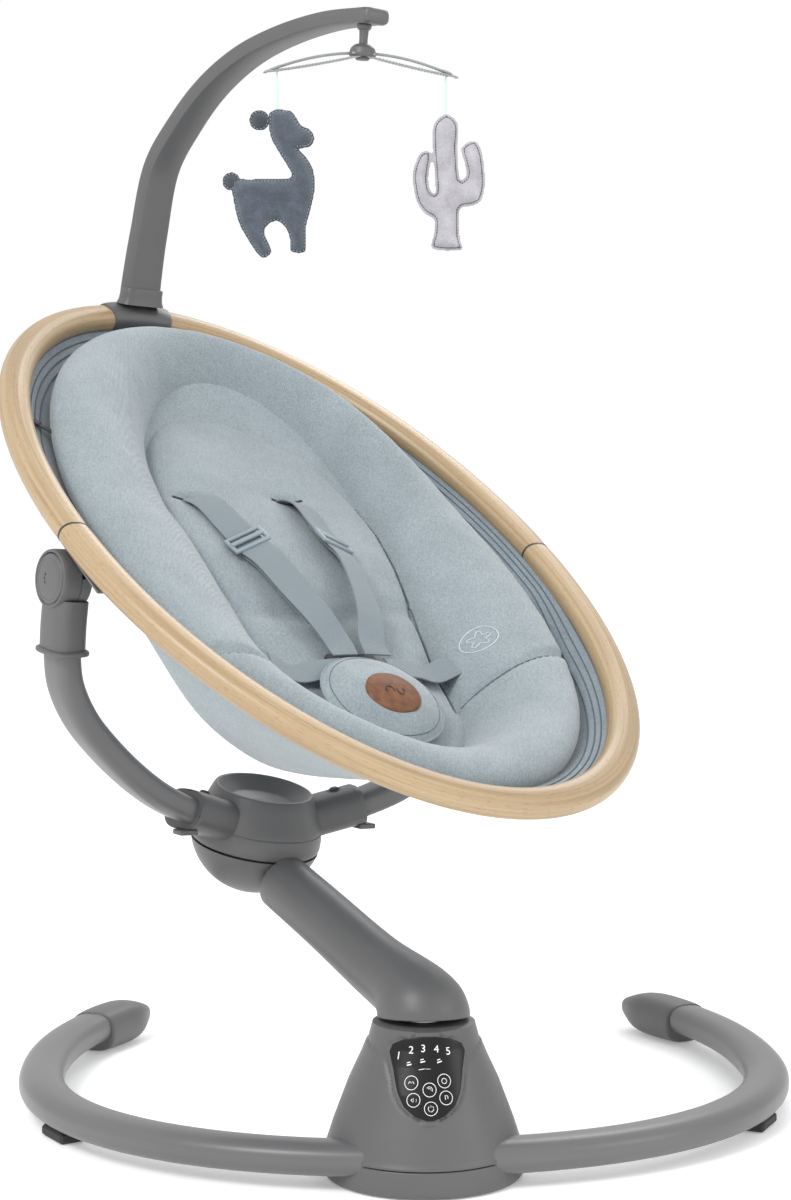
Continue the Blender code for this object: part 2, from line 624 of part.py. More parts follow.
# ---------------------------------------------------------------- seat
def hoop_point(angle, length=HOOP_LENGTH, width=HOOP_WIDTH, z=0.0):
    a = math.radians(angle)
    return Vector((width * math.sin(a), length * math.cos(a), z))


def hoop_angles(start, end, count=18):
    """Even steps, with a short one at each end that squares the end faces to each other."""
    inner = [start + (end - start) * i / count for i in range(1, count)]
    return [start + 0.06, start + 0.7] + inner + [end - 0.7, end - 0.06]


def cushion(name, length, width, top, bottom, middle=None, columns=24, rows=10):
    """A pad in an oval opening: top and bottom give the height at a reach of 0 to 1."""
    middle = MIDDLE if middle is None else middle
    bm = bmesh.new()
    bmesh.ops.create_uvsphere(bm, u_segments=columns, v_segments=rows, radius=1.0)
    for v in bm.verts:
        x, y, z = v.co
        reach = min(1.0, math.hypot(x, y))
        along = length * y + middle * (1 - reach)
        height = top(reach, along) if z >= -0.001 else bottom(reach, along)
        v.co = (width * x, along, height)
    return mesh_object(name, bm)


def fullness(reach):
    """How far a pad has sunk to its full depth: 0 at its rim, 1 in the middle."""
    return 1 - reach ** 4


def bag_floor(reach, along=0.0):
    return -0.014 - (BAG_DEPTH - 0.014) * fullness(reach)


def bag_top(reach, along=0.0):
    return bag_floor(reach) + 0.004


def liner_floor(reach, along=0.0):
    return -0.008 - (BAG_DEPTH - 0.018) * fullness(reach)


def liner_top(reach, along=0.0):
    return liner_floor(reach) + 0.003 + 0.020 * fullness(reach)


def insert_floor(reach, along=0.0):
    return -0.014 - (BAG_DEPTH - 0.052) * fullness(reach)


def insert_top(reach, along=0.0):
    """Shallow behind the back, deeper under the legs, with a raised roll all round."""
    lower = min(1.0, max(0.0, (0.06 - along) / 0.16))
    middle = -0.033 - 0.023 * lower * lower * (3 - 2 * lower)
    return -0.010 + (middle + 0.010) * fullness(reach)


def insert_height(x, y):
    """Height of the insert's top over a point of the seat."""
    reach = 0.5
    for _ in range(30):
        along = (y - MIDDLE * (1 - reach)) / INSERT[0]
        reach = min(1.0, math.hypot(x / INSERT[1], along))
    return insert_top(reach, y)


def over_insert(points, lift, side=1):
    return [(side * x, y, insert_height(x, y) + lift) for x, y in points]


def seat_parts(seat):
    """Everything that reclines; points are measured from the hoop's centre."""
    origin = Vector((0, HINGE_BACK, HINGE_DROP))

    def at(x, y, z):
        return Vector((x, y, z)) - origin

    def strap(name, points, section=WEBBING, colour="webbing"):
        route = [at(*p) for p in points]
        return link(sweep(name, route, oval(*section, 8, 6)), colour, seat)

    for name, start, end in (("head", -SEAM_ANGLE, SEAM_ANGLE),
                             ("foot", SEAM_ANGLE, 360 - SEAM_ANGLE)):
        path = [hoop_point(angle) - origin for angle in hoop_angles(start, end)]
        link(sweep(f"hoop_{name}", path, oval(*HOOP_TUBE)), "beech", seat)
    for name, side in SIDES:
        bracket(name, side, seat)
    length = HOOP_LENGTH - HOOP_TUBE[0] / 2 - 0.0008
    width = HOOP_WIDTH - HOOP_TUBE[0] / 2 - 0.0008
    for name, long, wide, low, high in (
            ("seat_sling", length, width, bag_floor, bag_top),
            ("seat_liner", length - 0.003, width - 0.003, liner_floor, liner_top),
            ("newborn_insert", *INSERT, insert_floor, insert_top)):
        link(cushion(name, long, wide, high, low), "pale fabric", seat, at(0, 0, 0))
    for name, side in SIDES:
        strap(f"shoulder_strap_{name}", over_insert(SHOULDER_ROUTE, 0.004, side))
        strap(f"waist_strap_{name}", over_insert(WAIST_ROUTE, 0.006, side), (0.022, 0.0016))
        x, y = 0.038 * side, 0.036
        adjuster = block(f"strap_adjuster_{name}", (0.032, 0.018, 0.004), 0.001)
        height = insert_height(abs(x), y) + 0.004 + 0.0008 + 0.0038
        link(adjuster, "webbing", seat, at(x, y, height), (math.radians(-4), 0, side * 0.16))
    floor = insert_height(0.02, -0.11)
    body = block("buckle_body", (0.046, 0.036, 0.009), 0.002)
    well = block("cut_buckle", (0.0166, 0.0126, 0.010))
    buckle_place = at(0, -0.110, floor + 0.0078)
    boolean(body, link(well, None, seat, buckle_place + Vector((0, 0, 0.0050))))
    link(body, "dark plastic", seat, buckle_place)
    key = block("buckle_button", (0.016, 0.012, 0.0032), 0.0008)
    link(key, "dark plastic", seat, buckle_place + Vector((0, 0, 0.0042)))
    cover = cushion("crotch_cover", 0.047, 0.050, lambda r, y: 0.004 + 0.005 * fullness(r),
                    lambda r, y: 0.004 - 0.004 * fullness(r), 0.0, 16, 8)
    lean = math.radians(4)
    link(cover, "pale fabric", seat, at(0, -0.146, floor + 0.0175), (lean, 0, 0))
    patch = turned("leather_patch", [(0.0, 0.0006), (0.0200, 0.0006), (0.0200, -0.0006),
                                     (0.0, -0.0006)], 20)
    link(patch, "leather", seat, at(0, -0.152, floor + 0.0277), (lean, 0, 0))
    puller = block("zip_puller", (0.005, 0.016, 0.0015), 0.0005)
    link(puller, "dark plastic", seat, at(-0.165, 0.150, -0.0085), (0, 0, math.radians(35)))
    toy_bar(seat, at)


def bracket(name, side, seat):
    """The plate under the hoop with the lug that turns in the hinge housing."""
    top = -HINGE_DROP - HOOP_TUBE[1] / 2 - GAP
    place = Vector((side * LUG_X, 0, 0))
    across = (0, side * math.pi / 2, 0)
    strip = block(f"hoop_bracket_{name}", (0.016, 0.100, 0.0016))
    out = Vector((side * 0.002, 0, top - 0.0008))
    link(strip, "grey metal", seat, place + out)
    low, high = -0.010, top - 0.0004
    lug = block(f"join_lug_{name}", (LUG_WIDTH, 0.016, high - low))
    boolean(strip, link(lug, None, seat, place + Vector((0, 0, (low + high) / 2))), "UNION")
    hole = [(0.0, 0.02), (PIN_RADIUS + GAP, 0.02), (PIN_RADIUS + GAP, -0.02), (0.0, -0.02)]
    boolean(strip, link(turned(f"cut_lug_{name}", hole, 16), None, seat, place, across))


def toy_bar(seat, at):
    """The saddle on the hoop's head end and the arch that it carries."""
    saddle = block("toy_bar_clamp", (0.058, 0.034, 0.0150), 0.002)
    link(saddle, "grey plastic", seat, at(0, HOOP_LENGTH, 0.0060))
    span = [hoop_point(angle) - Vector((0, HINGE_BACK, HINGE_DROP))
            for angle in hoop_angles(-SEAM_ANGLE, SEAM_ANGLE) if abs(angle) < 35]
    grow = 4 * GAP
    bed = sweep("cut_hoop", span, oval(HOOP_TUBE[0] + grow, HOOP_TUBE[1] + grow))
    boolean(saddle, link(bed, None, seat))
    slot = block("cut_saddle", (0.08, HOOP_TUBE[0] + grow, 0.02))
    boolean(saddle, link(slot, None, seat, at(0, HOOP_LENGTH, -0.010)))


def toy_arm(swing):
    frame = empty("arch_frame", (0, 0, 0), Quaternion((1, 1, 1), 2 * math.pi / 3), swing)
    route = [(y - PIVOT.y, z - PIVOT.z, 0.0) for y, z in ARCH]
    thin = [1.0 - 0.30 * i / (len(route) - 1) for i in range(len(route))]
    arch = sweep("toy_arm", route, oval(0.016, 0.033), radii=thin)
    link(arch, "grey plastic", frame)
    hang = empty("mobile_axis", TOY_PIN - PIVOT, Quaternion((0, 0, 1), BAR_TURN), swing)
    shaft = [(0.0, 0.0205), (0.0035, 0.0205), (0.0035, -0.0040), (0.0055, -0.0040),
             (0.0050, -0.0060), (0.0, -0.0060)]
    link(turned("mobile_pin", shaft, 16), "grey plastic", hang)
    dome = [(0.0039, 0.0055), (0.0060, 0.0050), (0.0085, 0.0025), (0.0090, -0.0036),
            (0.0039, -0.0036), (0.0039, 0.0055)]
    knob = link(turned("mobile_bar", dome, 16), "grey plastic", hang)
    loop = []
    for i in range(24):
        a = 2 * math.pi * i / 24
        across = math.cos(a)
        loop.append((BAR_HALF * across, 0.0065 * math.sin(a) * abs(math.sin(a)) ** 0.3,
                     BAR_HALF * BAR_ROLL * across - BAR_DROP * across * across))
    data = curve_data("strands", loop, cyclic=True)
    data.bevel_depth = 0.0016
    data.bevel_resolution = 1
    path = bpy.data.objects.new("path", data)
    bpy.context.scene.collection.objects.link(path)
    strands = link(meshed(path, "join_strands"), None, hang)
    boolean(knob, strands, "UNION")
    return hang


def toys(hang):
    """Two felt figures on strings; they hang straight down from the bar's ends."""
    bpy.context.view_layer.update()
    for name, toy, outline, unit, across in (
            ("left", "llama", LLAMA, (0.00091, 0.00091), -0.0645),
            ("right", "cactus", CACTUS, (0.00100, 0.00093), 0.0650)):
        along = across / BAR_HALF
        drop = across * BAR_ROLL - BAR_DROP * along * along
        top = hang.matrix_world @ Vector((across, 0, drop))
        top.z -= 0.0016 + 2 * GAP
        line = rod(f"toy_string_{name}", [(0, 0, 0), (0, 0, -STRING_LENGTH)], STRING_RADIUS)
        link(line, "mint cord", None, top)
        shape = [(x * unit[0], y * unit[1]) for x, y in outline]
        figure = plate(f"toy_{toy}", shape, TOY_THICKNESS)
        foot = top - Vector((0, 0, STRING_LENGTH + GAP))
        colour = "slate felt" if toy == "llama" else "grey felt"
        link(figure, colour, None, foot, (math.pi / 2, 0, TOY_TURN))


def main():
    tilt = Quaternion((1, 0, 0), -SWING_TILT)
    axis = empty("housing_axis", PIVOT, tilt)
    up = Vector((0, math.sin(SWING_TILT), math.cos(SWING_TILT)))
    swing = empty("swing_axis", PIVOT, Quaternion(up, SWING_ANGLE))
    turning = empty("shaft_axis", (0, 0, 0), tilt, swing)
    seat = empty("recline_axis", hinge_point() - PIVOT, Quaternion((1, 0, 0), SEAT_TILT), swing)
    base_ring()
    housing(axis)
    control_panel()
    drive(axis, turning)
    stalk_and_hub(swing, turning)
    arms(swing)
    seat_parts(seat)
    toys(toy_arm(swing))


main()
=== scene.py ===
"""Baby swing: a cone housing on an open floor ring, a stalk and hub, two arms, a beech hoop with a
padded seat, and a toy bar with a felt mobile. Metres, +Z up, the front of the base facing -Y."""
import json
import math

import bmesh
import bpy
from mathutils import Matrix, Vector, noise


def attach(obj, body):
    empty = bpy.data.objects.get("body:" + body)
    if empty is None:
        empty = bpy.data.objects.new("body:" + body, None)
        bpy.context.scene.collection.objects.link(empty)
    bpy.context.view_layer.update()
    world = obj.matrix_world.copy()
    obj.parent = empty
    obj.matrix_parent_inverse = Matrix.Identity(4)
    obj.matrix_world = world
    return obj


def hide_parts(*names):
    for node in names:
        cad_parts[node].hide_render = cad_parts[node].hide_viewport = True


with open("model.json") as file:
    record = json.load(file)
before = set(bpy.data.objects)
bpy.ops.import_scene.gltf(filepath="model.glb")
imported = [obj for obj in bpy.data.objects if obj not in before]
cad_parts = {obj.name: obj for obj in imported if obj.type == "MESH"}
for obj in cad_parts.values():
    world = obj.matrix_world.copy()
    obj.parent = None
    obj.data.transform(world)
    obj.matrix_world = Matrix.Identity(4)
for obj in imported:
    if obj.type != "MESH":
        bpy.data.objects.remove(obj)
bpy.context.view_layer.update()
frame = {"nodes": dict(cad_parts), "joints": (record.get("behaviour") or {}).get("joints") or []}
scene = bpy.context.scene

# ---- studio ----
# White seamless paper, one broad softbox above left, a weaker one on the right and one behind, with
# a long lens at the height of the seat.
camera = bpy.data.objects.new("camera", bpy.data.cameras.new("camera"))
scene.collection.objects.link(camera)
scene.camera = camera
camera.location = (-0.1420, -1.9307, 0.5610)
camera.rotation_euler = (math.radians(85.8), 0.0, math.radians(-3.6))
camera.data.lens = 81.0
camera.data.sensor_width = 36.0
scene.view_settings.view_transform = "Standard"


def colour(code):
    """Linear colour of an sRGB hex code."""
    def channel(pair):
        c = int(pair, 16) / 255
        return c / 12.92 if c <= 0.04045 else ((c + 0.055) / 1.055) ** 2.4
    return (channel(code[1:3]), channel(code[3:5]), channel(code[5:7]), 1.0)


for name, spot, aim, size, power in (
        ("softbox_key", (-1.5, -1.7, 2.5), (0.0, 0.1, 0.4), 1.3, 50.0),
        ("softbox_fill", (2.2, -1.2, 1.3), (0.0, 0.1, 0.4), 1.2, 9.0),
        ("softbox_rim", (0.6, 1.9, 1.9), (0.0, 0.1, 0.4), 1.0, 10.0)):
    lamp = bpy.data.lights.new(name, "AREA")
    lamp.shape = "DISK"
    lamp.size = size
    lamp.energy = power
    holder = bpy.data.objects.new(name, lamp)
    scene.collection.objects.link(holder)
    holder.location = spot
    holder.rotation_euler = (Vector(spot) - Vector(aim)).to_track_quat("Z", "Y").to_euler()
scene.world = bpy.data.worlds.new("studio")
scene.world.use_nodes = True
scene.world.node_tree.nodes["Background"].inputs["Color"].default_value = (1.0, 1.0, 1.0, 1.0)
scene.world.node_tree.nodes["Background"].inputs["Strength"].default_value = 1.0


def start(name, base, roughness, ior=1.5, metallic=0.0, **more):
    """A named material with its constants on the shader's own sockets."""
    mat = bpy.data.materials.new(name)
    mat.use_nodes = True
    shader = mat.node_tree.nodes["Principled BSDF"]
    shader.inputs["Base Color"].default_value = colour(base)
    shader.inputs["Roughness"].default_value = roughness
    shader.inputs["IOR"].default_value = ior
    shader.inputs["Metallic"].default_value = metallic
    for key, value in more.items():
        shader.inputs[key.replace("_", " ")].default_value = value
    return mat, shader


def add(mat, kind, wires=None, **settings):
    """Add a node; wires gives each input a value or a (node, output) to take it from."""
    made = mat.node_tree.nodes.new("ShaderNode" + kind)
    for key, value in settings.items():
        setattr(made, key, value)
    for key, value in (wires or {}).items():
        if isinstance(value, tuple) and hasattr(value[0], "outputs"):
            mat.node_tree.links.new(value[0].outputs[value[1]], made.inputs[key])
        else:
            made.inputs[key].default_value = value
    return made


def ramp(mat, source, stops):
    """Grade a 0 to 1 value through hex colours."""
    made = add(mat, "ValToRGB", {"Fac": source})
    made.color_ramp.elements[0].position = stops[0][0]
    made.color_ramp.elements[0].color = colour(stops[0][1])
    made.color_ramp.elements[1].position = stops[-1][0]
    made.color_ramp.elements[1].color = colour(stops[-1][1])
    for place, code in stops[1:-1]:
        made.color_ramp.elements.new(place).color = colour(code)
    return made


def wire(mat, shader, key, source):
    """Link a (node, output) to one of the shader's inputs."""
    mat.node_tree.links.new(source[0].outputs[source[1]], shader.inputs[key])


PAPER, paper_shader = start("seamless_paper", "#f8f8f8", 0.95)
paper_shader.inputs["Emission Color"].default_value = (1.0, 1.0, 1.0, 1.0)
paper_shader.inputs["Emission Strength"].default_value = 0.22
sweep = bpy.data.meshes.new("paper_floor")
bm = bmesh.new()
bmesh.ops.create_grid(bm, x_segments=1, y_segments=1, size=9.0)
bm.to_mesh(sweep)
bm.free()
floor = bpy.data.objects.new("paper_floor", sweep)
floor.location = (0.0, 0.0, -0.0005)
sweep.materials.append(PAPER)
scene.collection.objects.link(floor)

# ---- where the moving parts are ----
# The stalk, hub, arms and seat are described as they hang straight ahead; "ahead" swings them out.
joint = {j["name"]: j for j in frame["joints"]}
PIVOT = Vector(joint["seat_swing"]["pos_m"])
ACROSS = Vector(joint["seat_recline"]["axis"]).normalized()
UPRIGHT = Vector(joint["mobile_spin"]["axis"]).normalized()
SEAT_NORMAL = Vector(joint["toy_bar_release"]["axis"]).normalized()


def axes(place, x, z):
    """The frame at a place whose X and Z run along two given directions."""
    turn = Matrix((x, z.cross(x), z)).transposed().to_4x4()
    turn.translation = place
    return turn


SWING_TILT, SEAT_TILT, HUB_TILT, BAR_TURN, TOY_TURN_DEG = 6.8, 31.0, 11.0, -27.2, -3.0
SEAT_CENTRE, HUB_RIM = Vector((0.0, 0.1758, 0.4545)), Vector((0.0, 0.2206, 0.2525))
AHEAD = axes(PIVOT, ACROSS, UPRIGHT) @ Matrix.Translation(-PIVOT)
HINGE_BACK, HINGE_DROP = -0.019, -0.0338
SEAT = axes(Vector(joint["seat_recline"]["pos_m"]), ACROSS, SEAT_NORMAL)
SEAT = SEAT @ Matrix.Translation((0.0, -HINGE_BACK, -HINGE_DROP))
MOBILE = axes(Vector(joint["mobile_spin"]["pos_m"]), ACROSS, UPRIGHT)
MOBILE = MOBILE @ Matrix.Rotation(math.radians(BAR_TURN), 4, "Z")
HUB = AHEAD @ Matrix.Translation(HUB_RIM) @ Matrix.Rotation(math.radians(HUB_TILT), 4, "X")


def piece(name, bm, body, finish, nodes=(), place=None, sharp=38.0, tidy=True):
    """Finish a mesh as one smooth-shaded piece that rides on a body."""
    if tidy:
        bmesh.ops.remove_doubles(bm, verts=bm.verts, dist=0.000002)
        bmesh.ops.recalc_face_normals(bm, faces=bm.faces)
    if place:
        bm.transform(place)
    mesh = bpy.data.meshes.new(name)
    bm.to_mesh(mesh)
    bm.free()
    mesh.shade_smooth()
    mesh.set_sharp_from_angle(angle=math.radians(sharp))
    mesh.materials.append(finish)
    ob = bpy.data.objects.new(name, mesh)
    scene.collection.objects.link(ob)
    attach(ob, body)
    if nodes:
        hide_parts(*nodes)
    return ob


def coat(nodes, finish):
    """Give CAD solids that stay as they are a finish of their own."""
    for node in nodes:
        materials = frame["nodes"][node].data.materials
        materials.clear()
        materials.append(finish)


def ease(t):
    """A soft step from 0 to 1."""
    t = min(1.0, max(0.0, t))
    return t * t * (3 - 2 * t)


def turned(profile, steps=96):
    """Spin (radius, height) points about Z."""
    bm = bmesh.new()
    verts = [bm.verts.new((r, 0.0, z)) for r, z in profile]
    edges = [bm.edges.new(pair) for pair in zip(verts, verts[1:])]
    bmesh.ops.spin(bm, geom=verts + edges, cent=(0, 0, 0), axis=(0, 0, 1), dvec=(0, 0, 0),
                   angle=2 * math.pi, steps=steps, use_merge=True, use_duplicate=False)
    bmesh.ops.remove_doubles(bm, verts=bm.verts, dist=0.000002)
    return bm


def eased(points, radius, steps=3):
    """Round the inner corners of a line of (x, y) points."""
    out = [Vector(points[0])]
    for before, corner, after in zip(points, points[1:], points[2:]):
        before, corner, after = Vector(before), Vector(corner), Vector(after)
        reach = min(radius, (before - corner).length * 0.45, (after - corner).length * 0.45)
        one = corner + (before - corner).normalized() * reach
        two = corner + (after - corner).normalized() * reach
        for i in range(steps + 1):
            t = i / steps
            out.append(one * (1 - t) ** 2 + corner * 2 * t * (1 - t) + two * t * t)
    return [tuple(p) for p in out] + [tuple(points[-1])]


def smooth(points, steps=6):
    """Points of a Catmull-Rom curve through the given points."""
    points = [Vector(p) for p in points]
    line = [2 * points[0] - points[1]] + points + [2 * points[-1] - points[-2]]
    out = []
    for a, b, c, d in zip(line, line[1:], line[2:], line[3:]):
        for i in range(steps):
            t = i / steps
            out.append(0.5 * (2 * b + (c - a) * t + (2 * a - 5 * b + 4 * c - d) * t ** 2
                              + (3 * b - a - 3 * c + d) * t ** 3))
    return out + [points[-1]]


def oval(width, height, count=28, power=2.4):
    """Points of a flat-sided oval, starting on its underside."""
    points = []
    for i in range(count):
        a = 2 * math.pi * i / count - math.pi / 2
        c = math.copysign(abs(math.cos(a)) ** (2 / power), math.cos(a))
        s = math.copysign(abs(math.sin(a)) ** (2 / power), math.sin(a))
        points.append((width / 2 * c, height / 2 * s))
    return points


def swept(path, section, up, size=None, closed=False, caps=True):
    """Lay a grid along a path as a tube; its UV map runs in metres along and around."""
    path = [Vector(p) for p in path]
    rows = len(path) if closed else len(path) - 1
    cols = len(section)
    bm = bmesh.new()
    run = bm.loops.layers.uv.new("run")
    bmesh.ops.create_grid(bm, x_segments=cols, y_segments=rows, size=1.0)
    reach, girth = [0.0], [0.0]
    for i in range(rows):
        reach.append(reach[-1] + (path[(i + 1) % len(path)] - path[i]).length)
    for j in range(cols):
        girth.append(girth[-1] + (Vector(section[(j + 1) % cols]) - Vector(section[j])).length)
    stations = []
    for i, place in enumerate(path):
        if closed:
            onward = path[(i + 1) % len(path)] - path[i - 1]
        else:
            onward = path[min(i + 1, rows)] - path[max(i - 1, 0)]
        onward.normalize()
        rise = up[i] if isinstance(up, list) else up
        rise = (rise - onward * rise.dot(onward)).normalized()
        stations.append((place, onward.cross(rise), rise))
    where = {}
    for v in bm.verts:
        i = round((v.co.y + 1) / 2 * rows)
        j = round((v.co.x + 1) / 2 * cols)
        where[v] = (reach[i], girth[j])
        place, side, rise = stations[i % len(path)]
        a, b = section[j % cols]
        k = size[i % len(path)] if size else 1.0
        v.co = place + side * (a * k) + rise * (b * k)
    for face in bm.faces:
        for loop in face.loops:
            loop[run].uv = where[loop.vert]
    bmesh.ops.remove_doubles(bm, verts=bm.verts, dist=0.000002)
    if caps and not closed:
        bmesh.ops.holes_fill(bm, edges=[e for e in bm.edges if e.is_boundary], sides=0)
    return bm


def slab(width, height):
    """Corners of a rectangle round the origin."""
    return [(-width / 2, -height / 2), (width / 2, -height / 2), (width / 2, height / 2),
            (-width / 2, height / 2)]


def joined(*parts):
    """One mesh out of several."""
    whole = parts[0]
    for part in parts[1:]:
        spare = bpy.data.meshes.new("spare")
        part.to_mesh(spare)
        part.free()
        whole.from_mesh(spare)
        bpy.data.meshes.remove(spare)
    return whole


def box(size, bevel, segments=3, place=None):
    """A block with rounded edges."""
    bm = bmesh.new()
    bmesh.ops.create_cube(bm, size=1.0)
    bmesh.ops.scale(bm, vec=size, verts=bm.verts)
    bmesh.ops.bevel(bm, geom=bm.edges[:], offset=bevel, segments=segments, profile=0.5,
                    affect="EDGES", material=-1)
    if place:
        bm.transform(place)
    return bm


# ---- toy strings ----
# Two short lengths of twisted mint cotton, knotted into the bar's eyelets and sewn into the toys.
# They carry the toys, so they hang straight.
MINT, mint_shader = start("mint_cotton_cord", "#c6e2d9", 0.85, 1.53)
run = add(MINT, "UVMap", uv_map="run")
lay = add(MINT, "Mapping", {"Vector": (run, "UV"), "Rotation": (0.0, 0.0, 0.9)})
twist = add(MINT, "TexWave", {"Vector": (lay, "Vector"), "Scale": 420.0})
tint = ramp(MINT, (twist, "Fac"), ((0.0, "#a9cfc4"), (1.0, "#d8efe8")))
wire(MINT, mint_shader, "Base Color", (tint, "Color"))
bump = add(MINT, "Bump", {"Height": (twist, "Fac"), "Strength": 0.5, "Distance": 0.0003})
wire(MINT, mint_shader, "Normal", (bump, "Normal"))
STRING_LENGTH = 0.029
TOY_TOP = {}
for side, toy in (("left", "llama"), ("right", "cactus")):
    top = Vector(joint[f"{toy}_sway"]["pos_m"])
    TOY_TOP[toy] = top - Vector((0, 0, STRING_LENGTH + 0.0003))
    route = [top + Vector((0, 0, 0.0006)) - Vector((0, 0, 0.0031)) * i for i in range(12)]
    line = piece(f"string_{side}", swept(route, oval(0.0014, 0.0014, 8, 2.0), Vector((0, 1, 0))),
                 toy, MINT, [f"toy_string_{side}"], tidy=False)

# ---- floor ring ----
# A steel tube of flat-oval section, rolled to an open ring and powder coated a satin grey, with a
# bulbous moulded cap on each end and a rubber pad under each side.
RING_CENTRE_Y, RING_HALF_WIDTH, RING_FRONT, RING_BACK, RING_POWER = 0.220, 0.291, 0.258, 0.324, 2.15
RING_Z, RING_TUBE = 0.0215, (0.036, 0.025)
RING_START, RING_END, CAP_START, CAP_END = 7.0, 118.0, 121.0, 133.0


def grained(name, base, light, roughness, grain, depth):
    """Grey that varies a little over the surface, with a fine even grain."""
    mat, shader = start(name, base, roughness)
    spot = add(mat, "TexCoord")
    cloud = add(mat, "TexNoise", {"Vector": (spot, "Object"), "Scale": 9.0, "Detail": 3.0})
    tone = ramp(mat, (cloud, "Fac"), ((0.3, base), (0.75, light)))
    wire(mat, shader, "Base Color", (tone, "Color"))
    speck = add(mat, "TexNoise", {"Vector": (spot, "Object"), "Scale": 1.0 / grain, "Detail": 4.0})
    rough = add(mat, "MapRange", {"Value": (speck, "Fac"), "To Min": roughness - 0.06,
                                  "To Max": roughness + 0.08})
    wire(mat, shader, "Roughness", (rough, "Result"))
    bump = add(mat, "Bump", {"Height": (speck, "Fac"), "Strength": 0.35, "Distance": depth})
    wire(mat, shader, "Normal", (bump, "Normal"))
    return mat


# Powder coat on steel: an orange-peel of about 1 mm. Spark-eroded ABS: a 0.4 mm satin grain.
COATED = grained("powder_coated_steel", "#5f5f60", "#666667", 0.34, 0.0011, 0.00006)
MOULDED = grained("satin_grey_abs", "#545455", "#5b5b5c", 0.42, 0.0006, 0.00005)
# The dark ABS is the own colour of the studs, buckle, slider and the other dark parts. It also stands as
# painted shade in the toy bar's channel and along the seat's slots.
DARK_ABS_AND_SHADE = grained("dark_grey_abs_and_painted_shade", "#333334", "#3a3a3b", 0.46, 0.0006, 0.00005)
RUBBER = grained("black_rubber", "#2c2c2d", "#343435", 0.7, 0.0008, 0.0001)


def ring_point(angle, side):
    """A point of the ring's middle line; the angle runs from the front, round to the back."""
    a = math.radians(angle)
    reach = RING_FRONT if math.cos(a) > 0 else RING_BACK
    x = RING_HALF_WIDTH * abs(math.sin(a)) ** (2 / RING_POWER)
    y = RING_CENTRE_Y - math.copysign(reach * abs(math.cos(a)) ** (2 / RING_POWER), math.cos(a))
    return Vector((side * x, y, RING_Z))


def tube_section(width, height):
    """A flat oval, drawn in a little on its lower half."""
    points = []
    for a, b in oval(width, height, 36, 2.5):
        if b < -height * 0.16:
            a *= 0.985
        points.append((a, b))
    return points


for name, side in (("left", -1), ("right", 1)):
    path = [ring_point(RING_START + (RING_END - RING_START) * i / 70, side) for i in range(71)]
    piece(f"ring_tube_{name}", swept(path, tube_section(*RING_TUBE), Vector((0, 0, 1))),
          "base", COATED, [f"base_ring_{name}"])
    onward = (path[-1] - path[-2]).normalized()
    way = smooth([path[-1] + onward * 0.0003, path[-1] + onward * 0.004]
                 + [ring_point(CAP_START + (CAP_END - CAP_START) * i / 5, side) for i in range(6)], 6)
    sizes = []
    for i in range(len(way)):
        t = i / (len(way) - 1)
        lip = 1.0 + 0.10 * ease(t / 0.03)
        sizes.append((lip + 0.10 * math.sin(math.pi * min(1.0, t * 1.1)))
                     * math.sqrt(max(0.0, 1 - ease((t - 0.50) / 0.62) ** 2.0)))
    tip = (way[-1] - way[-2]).normalized()
    last = sizes[-1]
    for step in (0.5, 0.8, 0.95):
        way.append(way[-1] + tip * 0.0012)
        sizes.append(last * math.sqrt(1 - step * step))
    section = [(a, b - 0.003) for a, b in oval(0.0362, 0.0300, 32, 2.6)]
    piece(f"ring_end_{name}", swept(way, section, Vector((0, 0, 1)), sizes), "base", MOULDED,
          [f"ring_cap_{name}"])
coat(("ring_foot_left", "ring_foot_right"), RUBBER)

# ---- motor housing ----
# A tall cone of grey ABS with a fine satin grain, in two mouldings that meet at a seam just above
# the floor. A collar and the field round the touch panel lie a little deeper than the cone's skin.
CONE = ((0.0735, 0.0028), (0.0725, 0.0200), (0.0657, 0.0410), (0.0546, 0.0705),
        (0.0460, 0.0890), (0.0415, 0.1000), (0.0378, 0.1140), (0.0350, 0.1240))
PANEL = ((0.0545, 2.0), (0.0572, 10.0), (0.0635, 18.0), (0.0730, 24.0), (0.0870, 30.5),
         (0.0985, 38.0), (0.1035, 36.0), (0.1075, 25.0), (0.1095, 8.0))


def between(rows, key, flip=False):
    """Read a table of pairs at a key, straight between its rows."""
    pairs = [(b, a) for a, b in rows] if flip else list(rows)
    if key <= pairs[0][0]:
        return pairs[0][1]
    for (k0, v0), (k1, v1) in zip(pairs, pairs[1:]):
        if key <= k1:
            return v0 + (v1 - v0) * (key - k0) / (k1 - k0)
    return pairs[-1][1]


def cone_radius(z):
    """Outer radius of the cone at a height."""
    return between(CONE, z, True)


FAIRING = ((0.0500, 0.0), (0.0540, 9.0), (0.0600, 20.0), (0.0680, 27.0), (0.0790, 33.0),
           (0.0900, 42.0), (0.0960, 56.0), (0.1000, 90.0), (0.1010, 180.0))


def panel_half(z, grow=0.0):
    """Half angle of the panel at a height, zero above and below it."""
    if z < PANEL[0][0] - grow or z > PANEL[-1][0] + grow:
        return 0.0
    inner = between(PANEL, min(max(z, PANEL[0][0]), PANEL[-1][0]))
    return inner + math.degrees(grow / cone_radius(z))


